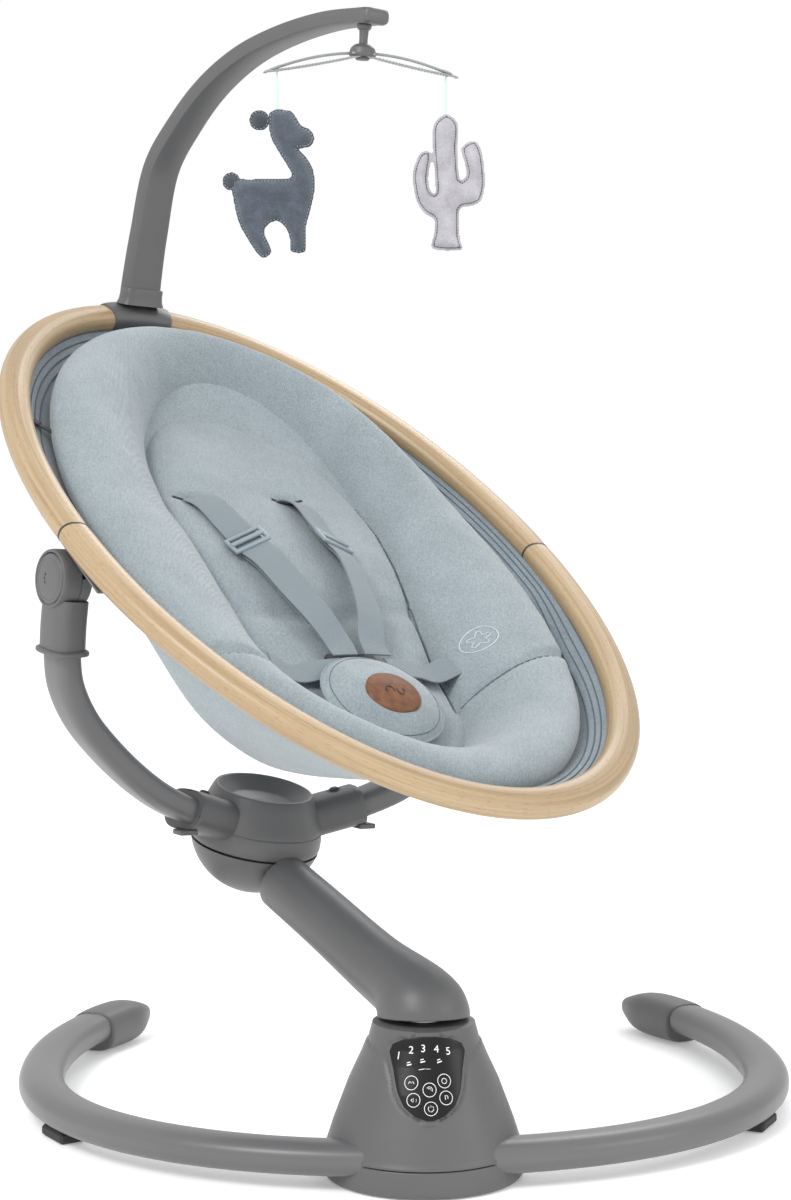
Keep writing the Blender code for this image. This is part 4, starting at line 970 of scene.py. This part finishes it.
line = []
for i in range(60):
    y = LEGS_Y + (BACK_Y - LEGS_Y) * i / 60
    line.append((-panel_side(y), y))
for i in range(121):
    a = math.pi * i / 120
    line.append((-BACK_HALF[0] * math.cos(a), BACK_Y + BACK_HALF[1] * math.sin(a)))
line += [(-x, y) for x, y in reversed(line[:60])]
line = [(x + PANEL_SHIFT + PANEL_SKEW * y, y) for x, y in line]
corded("panel_seam", line, 0.0016, lift=0.0018)
for name, side in (("left", -1), ("right", 1)):
    wedge_line = [(side * (LEGS_HALF[0] + 0.0098 * i), LEGS_Y + 0.0098 * WEDGE_RISE * i)
                  for i in range(10)]
    corded(f"wedge_seam_{name}", wedge_line, 0.0014, lift=0.0008)
    # A strip of the dark ABS along each slot is painted shade for the slot's opening, where the strap
    # goes in.
    slot_shadow_line = [(side * SLOT_X - 0.015 + 0.0015 * i, SLOT_Y + 0.0015) for i in range(21)]
    corded(f"slot_shadow_{name}", slot_shadow_line, 0.0022, DARK_ABS_AND_SHADE, 0.0004)
ring_line = [(BADGE[0] + x, BADGE[1] + y) for x, y in circle(BADGE_RADIUS, 48)]
PALE = yarn("pale_embroidery", "#c6d0d4", "#b5c1c6", "#d3dce0")
corded("badge_ring", ring_line, 0.0009, PALE, 0.0003, closed=True)
leaf = []
for i, (x, y) in enumerate(circle(ROSETTE_RADIUS, 40)):
    lobe = 1 + 0.35 * math.cos(5 * 2 * math.pi * i / 40)
    leaf.append((BADGE[0] + x * lobe, BADGE[1] + y * lobe))
corded("badge_leaf", leaf, 0.0008, PALE, 0.0003, closed=True)

# ---- harness ----
# Polyester webbing, woven with fine cross ribs, comes out of two slots and from both sides and runs
# under the crotch cover. Each shoulder strap is doubled and has a moulded three-bar adjuster.
WEBBING, webbing_shader = start("ribbed_polyester_webbing", "#9aa6ac", 0.75, 1.5, Sheen_Weight=0.2)
run = add(WEBBING, "UVMap", uv_map="run")
rib = add(WEBBING, "Mapping", {"Vector": (run, "UV"), "Scale": (1.0, 0.05, 1.0)})
ribs = add(WEBBING, "TexWave", {"Vector": (rib, "Vector"), "Scale": 240.0, "Distortion": 0.4},
           bands_direction="X")
warp = add(WEBBING, "TexWave", {"Vector": (run, "UV"), "Scale": 420.0, "Distortion": 0.3},
           bands_direction="Y")
weave = add(WEBBING, "Math", {0: (ribs, "Fac"), 1: (warp, "Fac")}, operation="MULTIPLY")
tone = ramp(WEBBING, (weave, "Value"), ((0.0, "#6f7b81"), (0.5, "#89959b"), (1.0, "#99a4a9")))
wire(WEBBING, webbing_shader, "Base Color", (tone, "Color"))
bump = add(WEBBING, "Bump", {"Height": (weave, "Value"), "Strength": 0.6, "Distance": 0.0004})
wire(WEBBING, webbing_shader, "Normal", (bump, "Normal"))
BUCKLE_GREY = grained("pale_grey_acetal", "#86929a", "#8f9ba2", 0.3, 0.0008, 0.00003)
SHOULDER = ((0.0475, 0.1035, -0.0030), (0.0470, 0.0960, 0.0030), (0.0460, 0.0780, 0.0070),
            (0.0430, 0.0500, 0.0075), (0.0400, 0.0220, 0.0085), (0.0380, -0.0060, 0.0150),
            (0.0320, -0.0400, 0.0200), (0.0240, -0.0700, 0.0190), (0.0160, -0.0920, 0.0140),
            (0.0150, -0.1060, 0.0120))
for name, side in (("left", -1), ("right", 1)):
    way = smooth([(side * x, y, insert_top(0.5, side * x, y) + lift) for x, y, lift in SHOULDER], 8)
    rise = []
    for i in range(len(way)):
        roll = math.radians(26) * side * math.sin(math.pi * i / (len(way) - 1))
        roll *= 1 if side < 0 else 0.7
        rise.append(Vector((math.sin(roll), 0, math.cos(roll))))
    piece(f"shoulder_web_{name}", swept(way, oval(0.0235, 0.0015, 20, 8), rise), "seat", WEBBING,
          [f"shoulder_strap_{name}"], SEAT)
    back = smooth([(side * (x + 0.0025 * side), y, insert_top(0.5, side * x, y) + lift - 0.0035)
                   for x, y, lift in SHOULDER[3:8]], 8)
    piece(f"shoulder_tail_{name}", swept(back, oval(0.0235, 0.0014, 20, 8), rise[24:24 + len(back)]),
          "seat", WEBBING, (), SEAT)
    k = 32
    onward = (way[k + 1] - way[k - 1]).normalized()
    up = (rise[k] - onward * rise[k].dot(onward)).normalized()
    turn = axes(way[k] + up * 0.0022, onward.cross(up), up)
    outer = box((0.0320, 0.0036, 0.0032), 0.0012, 3, Matrix.Translation((0, 0.0080, 0)))
    bar = box((0.0320, 0.0034, 0.0032), 0.0012, 3, Matrix.Translation((0, -0.0080, 0)))
    middle = box((0.0300, 0.0040, 0.0030), 0.0012, 3, Matrix.Translation((0, 0.0, 0.0012)))
    rails = [box((0.0032, 0.0190, 0.0034), 0.0012, 3, Matrix.Translation((s * 0.0147, 0, 0)))
             for s in (-1, 1)]
    piece(f"adjuster_{name}", joined(outer, bar, middle, *rails), "seat", BUCKLE_GREY,
          [f"strap_adjuster_{name}"], SEAT @ turn)
    waist = smooth([(side * x, y, insert_top(0.5, side * x, y) + lift) for x, y, lift in
                    ((0.020, -0.118, 0.010), (0.042, -0.119, 0.009), (0.064, -0.117, 0.006),
                     (0.086, -0.112, 0.006))], 8)
    piece(f"waist_web_{name}", swept(waist, oval(0.0220, 0.0015, 20, 8), OUT), "seat", WEBBING,
          [f"waist_strap_{name}"], SEAT)
    tack = []
    for i in range(7):
        x = 0.0740 + 0.0011 * i
        z = insert_top(0.5, side * x, -0.1145) + 0.0070
        tack.append(box((0.0007, 0.0170, 0.0006), 0.0002, 1,
                        Matrix.Translation((side * x, -0.1145, z))))
    piece(f"bar_tack_{name}", joined(*tack), "seat", THREAD, (), SEAT)
coat(("buckle_body", "buckle_button"), DARK_ABS_AND_SHADE)

# ---- crotch cover ----
# A padded disc of the same jersey hides the buckle. Its edge is piped, and a leather oval is sewn
# on top.
COVER = (0.050, 0.047)
floor_z = insert_top(0.5, 0.0, -0.110)


def cover_top(reach, x, y):
    dome = 0.001 + 0.0155 * (1 - reach ** 2.0) ** 0.8
    return dome + 0.0012 * noise.noise(Vector((x * 60, y * 60, 7.0))) * fullness(reach)


def cover_floor(reach, x, y):
    return 0.002 - 0.0050 * fullness(reach)


cover_place = SEAT @ Matrix.Translation((-0.010, -0.158, floor_z + 0.0075))
cover_place = cover_place @ Matrix.Rotation(math.radians(5), 4, "X")
cover = piece("cover_pad", pad(COVER[1], COVER[0], cover_top, cover_floor, 96, 64, 0.0), "seat", JERSEY,
              ["crotch_cover"], cover_place, sharp=80)
for number, (reach, thick, finish) in enumerate(((1.0, 0.0022, LINING), (0.90, 0.0007, THREAD))):
    loop = []
    for x, y in circle(reach, 96):
        x, y = COVER[0] * x, COVER[1] * y
        loop.append((x, y, cover_top(reach, x, y)))
    piece(f"cover_piping_{number}", swept(loop, oval(thick, thick, 8, 2.0), OUT, closed=True),
          "seat", finish, (), cover_place, tidy=False)
HIDE, hide_shader = start("brown_leather", "#6b4226", 0.55, 1.5)
spot = add(HIDE, "TexCoord")
pores = add(HIDE, "TexVoronoi", {"Vector": (spot, "Object"), "Scale": 900.0})
cloud = add(HIDE, "TexNoise", {"Vector": (spot, "Object"), "Scale": 160.0, "Detail": 4.0})
tone = ramp(HIDE, (cloud, "Fac"), ((0.3, "#5b351d"), (0.7, "#7c4f30")))
wire(HIDE, hide_shader, "Base Color", (tone, "Color"))
bump = add(HIDE, "Bump", {"Height": (pores, "Distance"), "Strength": 0.4, "Distance": 0.0002})
wire(HIDE, hide_shader, "Normal", (bump, "Normal"))
patch = turned(eased([(0.0, 0.0008), (0.0220, 0.0008), (0.0235, 0.0), (0.0235, -0.0012),
                      (0.0, -0.0012)], 0.0006), 96)
bmesh.ops.scale(patch, vec=(1.0, 0.86, 1.0), verts=patch.verts)
PATCH_SHIFT = -0.006


def under_patch(x, y):
    """Height of the cover below a point of the patch."""
    return cover_top(math.hypot(x / COVER[0], (y + PATCH_SHIFT) / COVER[1]), 0.0, 0.0)


for v in patch.verts:
    v.co.z += under_patch(v.co.x, v.co.y) + 0.0006
patch_place = cover_place @ Matrix.Translation((0, PATCH_SHIFT, 0))
piece("leather_oval", patch, "seat", HIDE, ["leather_patch"], patch_place)
swirl = []
for bend, at_x in ((1, -0.0045), (-1, 0.0045)):
    points = []
    for i in range(15):
        a = math.radians(-110 + 220 * i / 14) * bend
        x, y = at_x + 0.0032 * math.sin(a) * bend, 0.0042 * math.cos(a) * bend
        points.append((x, y, under_patch(x, y) + 0.0014))
    swirl.append(swept(points, oval(0.0009, 0.0006, 6, 2.0), OUT))
piece("leather_swirl", joined(*swirl), "seat", DARK_ABS_AND_SHADE, (), patch_place, tidy=False)

# ---- zip and label ----
# The puller and slider of the lining's zip lie at the head end on the left, beside a folded tape.
# The zip itself shows only as the stitch lines of its tape, made with the lining.
puller = joined(box((0.0046, 0.0150, 0.0014), 0.0005),
                box((0.0070, 0.0070, 0.0030), 0.0010, 3, Matrix.Translation((0, 0.0090, 0.0))))
puller_place = SEAT @ Matrix.Translation((-0.165, 0.150, -0.0085))
puller_place = puller_place @ Matrix.Rotation(math.radians(35), 4, "Z")
piece("zip_slider", puller, "seat", DARK_ABS_AND_SHADE, ["zip_puller"], puller_place)
tab = smooth([(-0.148, 0.150, -0.020), (-0.140, 0.149, -0.010), (-0.137, 0.148, -0.004),
              (-0.139, 0.147, -0.011)], 6)
piece("tape_tab", swept(tab, oval(0.018, 0.0008, 12, 6), Vector((0.3, 0.2, 1))), "seat", PALE,
      (), SEAT)

# ---- toy bar ----
# A curved ABS arch, open on its inner side as a ribbed channel, stands in a saddle that snaps over
# the head of the hoop. Its tip carries a short turned pin.
ARCH = ((0.4490, 0.6390), (0.4455, 0.6660), (0.4400, 0.6960), (0.4270, 0.7480), (0.3950, 0.7830),
        (0.3555, 0.8120), (0.3075, 0.8330), (0.2540, 0.8450), (0.1940, 0.8510), (0.1375, 0.8500))
arch = smooth([(0.0, y, z) for y, z in ARCH], 10)
side_x = Vector((1, 0, 0))
count = len(arch)
outside = []
for i, p in enumerate(arch):
    onward = (arch[min(i + 1, count - 1)] - arch[max(i - 1, 0)]).normalized()
    outside.append(side_x.cross(onward))
share = [i / (count - 1) for i in range(count)]
slim = [1.0 - 0.32 * t for t in share]
half_w, half_h, wall, well = 0.0165, 0.0080, 0.0026, 0.0115
inner_w, well_z = half_w - wall, well - half_h


def mirrored(points):
    """A section completed with its mirror image across the middle."""
    return points + [(-x, y) for x, y in reversed(points)]


arm_half = [(inner_w, well_z), (inner_w, -half_h), (half_w - 0.0004, -half_h), (half_w, -half_h + 0.0004),
            (half_w, half_h - 0.0050), (half_w - 0.0016, half_h - 0.0018), (half_w - 0.0050, half_h)]
channel = mirrored(arm_half)[1:] + arm_half[:1]
piece("arch_shell", swept(arch, channel, outside, slim), "toy_bar", MOULDED,
      ["toy_arm"], AHEAD, sharp=28)
# The ribs, the sheet lining the channel's inner walls and the spine all take the dark ABS as painted
# shade. The channel is moulded in the same grey as the shell, and its hollow is drawn dark.
ribs = []
for k in range(7, count - 8, 8):
    p, out, s = arch[k], outside[k], slim[k]
    onward = side_x.cross(out)
    turn = Matrix((side_x, onward, out)).transposed().to_4x4()
    turn.translation = p - out * (0.0018 * s)
    ribs.append(box((inner_w * 2 * s, 0.0016, 0.0090 * s), 0.0003, 1, turn))
channel_wall_shade = mirrored([(inner_w - 0.0004, well_z - 0.0004), (inner_w - 0.0004, -half_h + 0.0008),
                   (inner_w + 0.0002, -half_h + 0.0008), (inner_w + 0.0002, well_z + 0.0002)])
ribs.append(swept(arch[2:count - 4], channel_wall_shade, outside[2:count - 4], slim[2:count - 4]))
spine = [arch[i] - outside[i] * (0.0018 * slim[i]) for i in range(4, count - 6)]
ribs.append(swept(spine, slab(0.0016, 0.0060), outside[4:count - 6]))
piece("arch_channel_shade", joined(*ribs), "toy_bar", DARK_ABS_AND_SHADE, (), AHEAD, sharp=28)
foot = arch[0]
lift = (arch[1] - arch[0]).normalized()
band = [foot + lift * h for h in (-0.004, 0.0, 0.004, 0.0095, 0.0100, 0.0104)]
collar = swept(band, oval(0.0360, 0.0195, 40, 4.0), outside[0],
               [1.12, 1.03, 1.0, 1.0, 0.985, 0.95])
piece("arch_collar", collar, "toy_bar", MOULDED, (), AHEAD, sharp=50)
SADDLE_HALF = 7.8
saddle_way = [hoop_point(SADDLE_HALF * (i / 20 - 1)) for i in range(41)]
flare = []
for i in range(41):
    t = abs(i / 20 - 1)
    flare.append(1.0 + 0.10 * (1 - t ** 6) + 0.10 * (1 - t) ** 1.5)
saddle = swept(saddle_way, [(a, b + 0.0006) for a, b in oval(0.0262, 0.0202, 40, 2.5)], OUT, flare)
piece("arch_saddle", saddle, "toy_bar", MOULDED, ["toy_bar_clamp"], SEAT, sharp=50)
pin = eased([(0.0, 0.0205), (0.0058, 0.0205), (0.0052, 0.0175), (0.0036, 0.0165), (0.0032, 0.0090),
             (0.0035, 0.0040), (0.0035, -0.0040), (0.0055, -0.0040), (0.0050, -0.0060),
             (0.0, -0.0060)], 0.0008)
piece("arch_pin", turned(pin, 48), "toy_bar", MOULDED, ["mobile_pin"], MOBILE)
tip_cap = box((0.0230, 0.0110, 0.0120), 0.0045, 5, Matrix.Translation((0.0, 0.1385, 0.8500)))
piece("arch_tip", tip_cap, "toy_bar", MOULDED, (), AHEAD, sharp=50)

# ---- mobile bar ----
# Two slim strands of pale grey ABS bow apart and meet in pointed ends with an eyelet each: a round
# upper one and a flat lower one with fine cross ribs. A dome turns on the pin.
SILVER = grained("pearl_grey_abs", "#8b8d8e", "#989a9b", 0.3, 0.0008, 0.00003)
BAR_HALF, BAR_DROP, BAR_ROLL, EYE_AT = 0.0737, 0.017, 0.0617, 0.885
dome = eased([(0.0039, 0.0062), (0.0062, 0.0056), (0.0092, 0.0030), (0.0104, -0.0012),
              (0.0100, -0.0036), (0.0039, -0.0040), (0.0039, 0.0062)], 0.0009)
piece("mobile_dome", turned(dome, 48), "mobile", MOULDED, ["mobile_bar"], MOBILE)


def bar_point(t, bow, sag):
    """A point of a strand: bow swells it sideways and sag lets it hang between its ends."""
    lens = (1 - min(1.0, abs(t)) ** 2) ** 0.75
    wing = math.sin(math.pi * min(1.0, abs(t) / 0.96)) ** 0.8
    return Vector((BAR_HALF * t, bow * lens,
                   BAR_ROLL * BAR_HALF * t - BAR_DROP * t * t - sag * (0.35 * lens + 0.65 * wing)))


strands = []
for bow, wide, tall, sag in ((0.0050, 0.0022, 0.0022, 0.0), (-0.0050, 0.0044, 0.0017, 0.0070)):
    strands.append(swept([bar_point(-1 + i / 30, bow, sag) for i in range(61)],
                         oval(wide, tall, 12, 2.6), OUT))
for s in (-1, 1):
    middle = bar_point(s * EYE_AT, 0.0, 0.0)
    slope = BAR_ROLL - s * 2 * BAR_DROP * EYE_AT / BAR_HALF
    eye = [middle + Vector((0.0040 * x, 0.0034 * y, 0.0040 * x * slope)) for x, y in circle(1.0, 24)]
    strands.append(swept(eye, oval(0.0022, 0.0018, 8, 2.0), OUT, closed=True))
    strands.append(swept([bar_point(s * t, 0.0, 0.0) for t in (0.94, 0.97, 1.0, 1.02)],
                         oval(0.0040, 0.0020, 12, 2.4), OUT, [1.1, 0.9, 0.6, 0.2]))
for i in range(-26, 27):
    if abs(i) > 4:
        strands.append(box((0.0006, 0.0048, 0.0022), 0.0002, 1,
                           Matrix.Translation(bar_point(i / 29, -0.0050, 0.0070))))
strands.append(box((0.018, 0.015, 0.0016), 0.0006, 2, Matrix.Translation((0, 0, -0.0018))))
piece("mobile_strands", joined(*strands), "mobile", SILVER, (), MOBILE, tidy=False)

# ---- felt toys ----
# Two flat figures of wool felt, sewn round the edge over a thin filling: the faces swell between
# the seams and a narrow flat border stays outside the stitches.
def felted(name, dark, middle, pale):
    mat, shader = start(name, middle, 0.95, 1.5, Sheen_Weight=0.4, Sheen_Roughness=0.6)
    spot = add(mat, "TexCoord")
    fibre = add(mat, "TexNoise", {"Vector": (spot, "Object"), "Scale": 700.0, "Detail": 6.0,
                                  "Roughness": 0.75, "Distortion": 1.5})
    cloud = add(mat, "TexNoise", {"Vector": (spot, "Object"), "Scale": 90.0, "Detail": 3.0})
    both = add(mat, "Mix", {"Factor": 0.35, "A": (fibre, "Fac"), "B": (cloud, "Fac")})
    tone = ramp(mat, (both, "Result"), ((0.36, dark), (0.5, middle), (0.64, pale)))
    wire(mat, shader, "Base Color", (tone, "Color"))
    bump = add(mat, "Bump", {"Height": (fibre, "Fac"), "Strength": 0.6, "Distance": 0.0006})
    wire(mat, shader, "Normal", (bump, "Normal"))
    return mat


SLATE = felted("slate_wool_felt", "#2c343f", "#3d4652", "#525c69")
DEEP = felted("deep_slate_felt", "#232930", "#2e343d", "#3a414b")
ASH = felted("ash_wool_felt", "#8f8d93", "#a5a3a9", "#b9b7bd")
LLAMA = ((-7, -4), (-2, 0), (5, 0), (11, -1), (15, -5), (20, -13), (27, -16), (31, -23), (28, -30),
         (21, -32), (17, -32), (23, -38), (29, -47), (31, -56), (31, -67), (27, -85), (24, -96),
         (23, -117), (11, -117), (10, -107), (7, -98), (0, -92), (-8, -95), (-11, -102), (-5, -117),
         (-14, -122), (-28, -102), (-34, -88), (-38, -68), (-41, -57), (-36, -55), (-31, -57),
         (-11, -57), (11, -56), (8, -46), (1, -35), (-5, -24), (-7, -15))
CACTUS = ((0, 0), (-7, -5), (-10, -12), (-10, -28), (-9, -42), (-8, -64), (-12, -61), (-13, -51),
          (-11, -33), (-16, -30), (-21, -34), (-25, -46), (-25, -58), (-22, -72), (-16, -81),
          (-9, -86), (-9, -97), (-10, -110), (12, -111), (11, -100), (11, -78), (20, -75),
          (27, -71), (30, -60), (30, -48), (28, -32), (24, -23), (19, -22), (13, -26), (12, -31),
          (16, -48), (11, -53), (9, -28), (10, -12), (7, -4))


ROUNDING = 0.9


def rounded_outline(points, unit, steps=4):
    """A closed outline in metres with its corners eased."""
    points = [Vector((x * unit[0], y * unit[1])) for x, y in points]
    out = []
    for k in range(len(points)):
        a, b = points[k - 1], points[k]
        c, d = points[(k + 1) % len(points)], points[(k + 2) % len(points)]
        for i in range(steps):
            t = i / steps
            leave, arrive = (c - a) * ROUNDING, (d - b) * ROUNDING
            out.append(0.5 * (2 * b + leave * t + (6 * c - 6 * b - 2 * leave - arrive) * t * t
                              + (leave + arrive - 4 * (c - b)) * t ** 3))
    return out


def to_edge(p, outline):
    """Distance from a point to the nearest side of an outline."""
    best = 1.0
    for a, b in zip(outline, outline[1:] + outline[:1]):
        line = b - a
        t = min(1.0, max(0.0, (p - a).dot(line) / max(line.length_squared, 1e-12)))
        best = min(best, (p - a - line * t).length)
    return best


def stuffed(name, outline, half, body, finish, nodes, place, border=0.0022, reach=0.010):
    """Fill an outline with an even mesh, then swell both faces inside a flat border."""
    bm = bmesh.new()
    verts = [bm.verts.new((p.x, p.y, -0.0010)) for p in outline]
    face = bm.faces.new(verts)
    rise = bmesh.ops.extrude_face_region(bm, geom=[face])["geom"]
    bmesh.ops.translate(bm, vec=(0, 0, 0.0020),
                        verts=[v for v in rise if isinstance(v, bmesh.types.BMVert)])
    bmesh.ops.recalc_face_normals(bm, faces=bm.faces)
    mesh = bpy.data.meshes.new("rough")
    bm.to_mesh(mesh)
    bm.free()
    rough_ob = bpy.data.objects.new("rough", mesh)
    scene.collection.objects.link(rough_ob)
    grid = rough_ob.modifiers.new("Even", "REMESH")
    grid.mode = "VOXEL"
    grid.voxel_size = 0.0010
    bpy.context.view_layer.update()
    even = bpy.data.meshes.new_from_object(
        rough_ob.evaluated_get(bpy.context.evaluated_depsgraph_get()))
    bpy.data.objects.remove(rough_ob)
    bm = bmesh.new()
    bm.from_mesh(even)
    bpy.data.meshes.remove(even)
    for v in bm.verts:
        inward = to_edge(Vector((v.co.x, v.co.y)), outline)
        t = min(1.0, max(0.0, (inward - border) / reach))
        swell = half * math.sqrt(1 - (1 - t) ** 2)
        wave = 1 + 0.10 * noise.noise(Vector((v.co.x, v.co.y, half)) * 70)
        v.co.z = math.copysign(0.0010 + swell * wave, v.co.z) if abs(v.co.z) > 0.0003 else v.co.z
    bmesh.ops.smooth_vert(bm, verts=bm.verts, factor=0.5, use_axis_x=True, use_axis_y=True,
                          use_axis_z=True)
    made = piece(name, bm, body, finish, nodes, place, sharp=60)
    return made


def inset(outline, depth):
    """Move a closed outline inwards."""
    out = []
    area = sum(a.x * b.y - b.x * a.y for a, b in zip(outline, outline[1:] + outline[:1]))
    for k in range(len(outline)):
        along = (outline[(k + 1) % len(outline)] - outline[k - 1]).normalized()
        out.append(outline[k] + Vector((-along.y, along.x)) * (depth if area > 0 else -depth))
    return out


def stitched(name, outline, pitch, length, radius, body, finish, place, lift):
    """A row of short stitches on both faces along a closed outline."""
    row = []
    spare = 0.0
    for a, b in zip(outline, outline[1:] + outline[:1]):
        line = b - a
        while spare < line.length:
            p = a + line.normalized() * spare
            turn = math.atan2(line.y, line.x)
            for face in (-1, 1):
                bit = bmesh.new()
                bmesh.ops.create_icosphere(bit, subdivisions=1, radius=1.0)
                bmesh.ops.scale(bit, vec=(length / 2, radius, radius), verts=bit.verts)
                bit.transform(Matrix.Translation((p.x, p.y, face * lift))
                              @ Matrix.Rotation(turn, 4, "Z"))
                row.append(bit)
            spare += pitch
        spare -= line.length
    piece(name, joined(*row), body, finish, (), place, tidy=False)


TOY_TURN = Matrix.Rotation(math.radians(TOY_TURN_DEG), 4, "Z") @ Matrix.Rotation(math.pi / 2, 4, "X")
LIGHT_YARN = yarn("pale_sewing_yarn", "#8f989f", "#7e878e", "#a1a9af", 1200.0)
DARK_YARN = yarn("dark_sewing_yarn", "#34363b", "#2b2d31", "#3e4046", 1200.0)
place = Matrix.Translation(TOY_TOP["llama"]) @ TOY_TURN
outline = rounded_outline(LLAMA, (0.00091, 0.00091))
stuffed("felt_llama", outline, 0.0052, "llama", SLATE, ["toy_llama"], place)
stitched("llama_stitches", inset(outline, 0.0016), 0.0026, 0.0017, 0.00035, "llama", LIGHT_YARN,
         place, 0.0015)
for name, (x, y), radius in (("ear", (-13.4, -8.1), 0.0078), ("nose", (20.3, -21.3), 0.0073),
                             ("tail", (-34.8, -53.9), 0.0070)):
    disc = [Vector((x / 1000 + u, y / 1000 + v)) for u, v in circle(radius, 36)]
    stuffed(f"llama_{name}", disc, 0.0030, "llama", DEEP, (), place, reach=0.005)
    stitched(f"llama_{name}_stitches", inset(disc, 0.0014), 0.0026, 0.0017, 0.00035, "llama",
             LIGHT_YARN, place, 0.0015)
place = Matrix.Translation(TOY_TOP["cactus"]) @ TOY_TURN
outline = rounded_outline(CACTUS, (0.00100, 0.00093))
stuffed("felt_cactus", outline, 0.0048, "cactus", ASH, ["toy_cactus"], place, 0.0026,
        0.008)
stitched("cactus_stitches", inset(outline, 0.0023), 0.0022, 0.0021, 0.00045, "cactus", DARK_YARN,
         place, 0.0016)
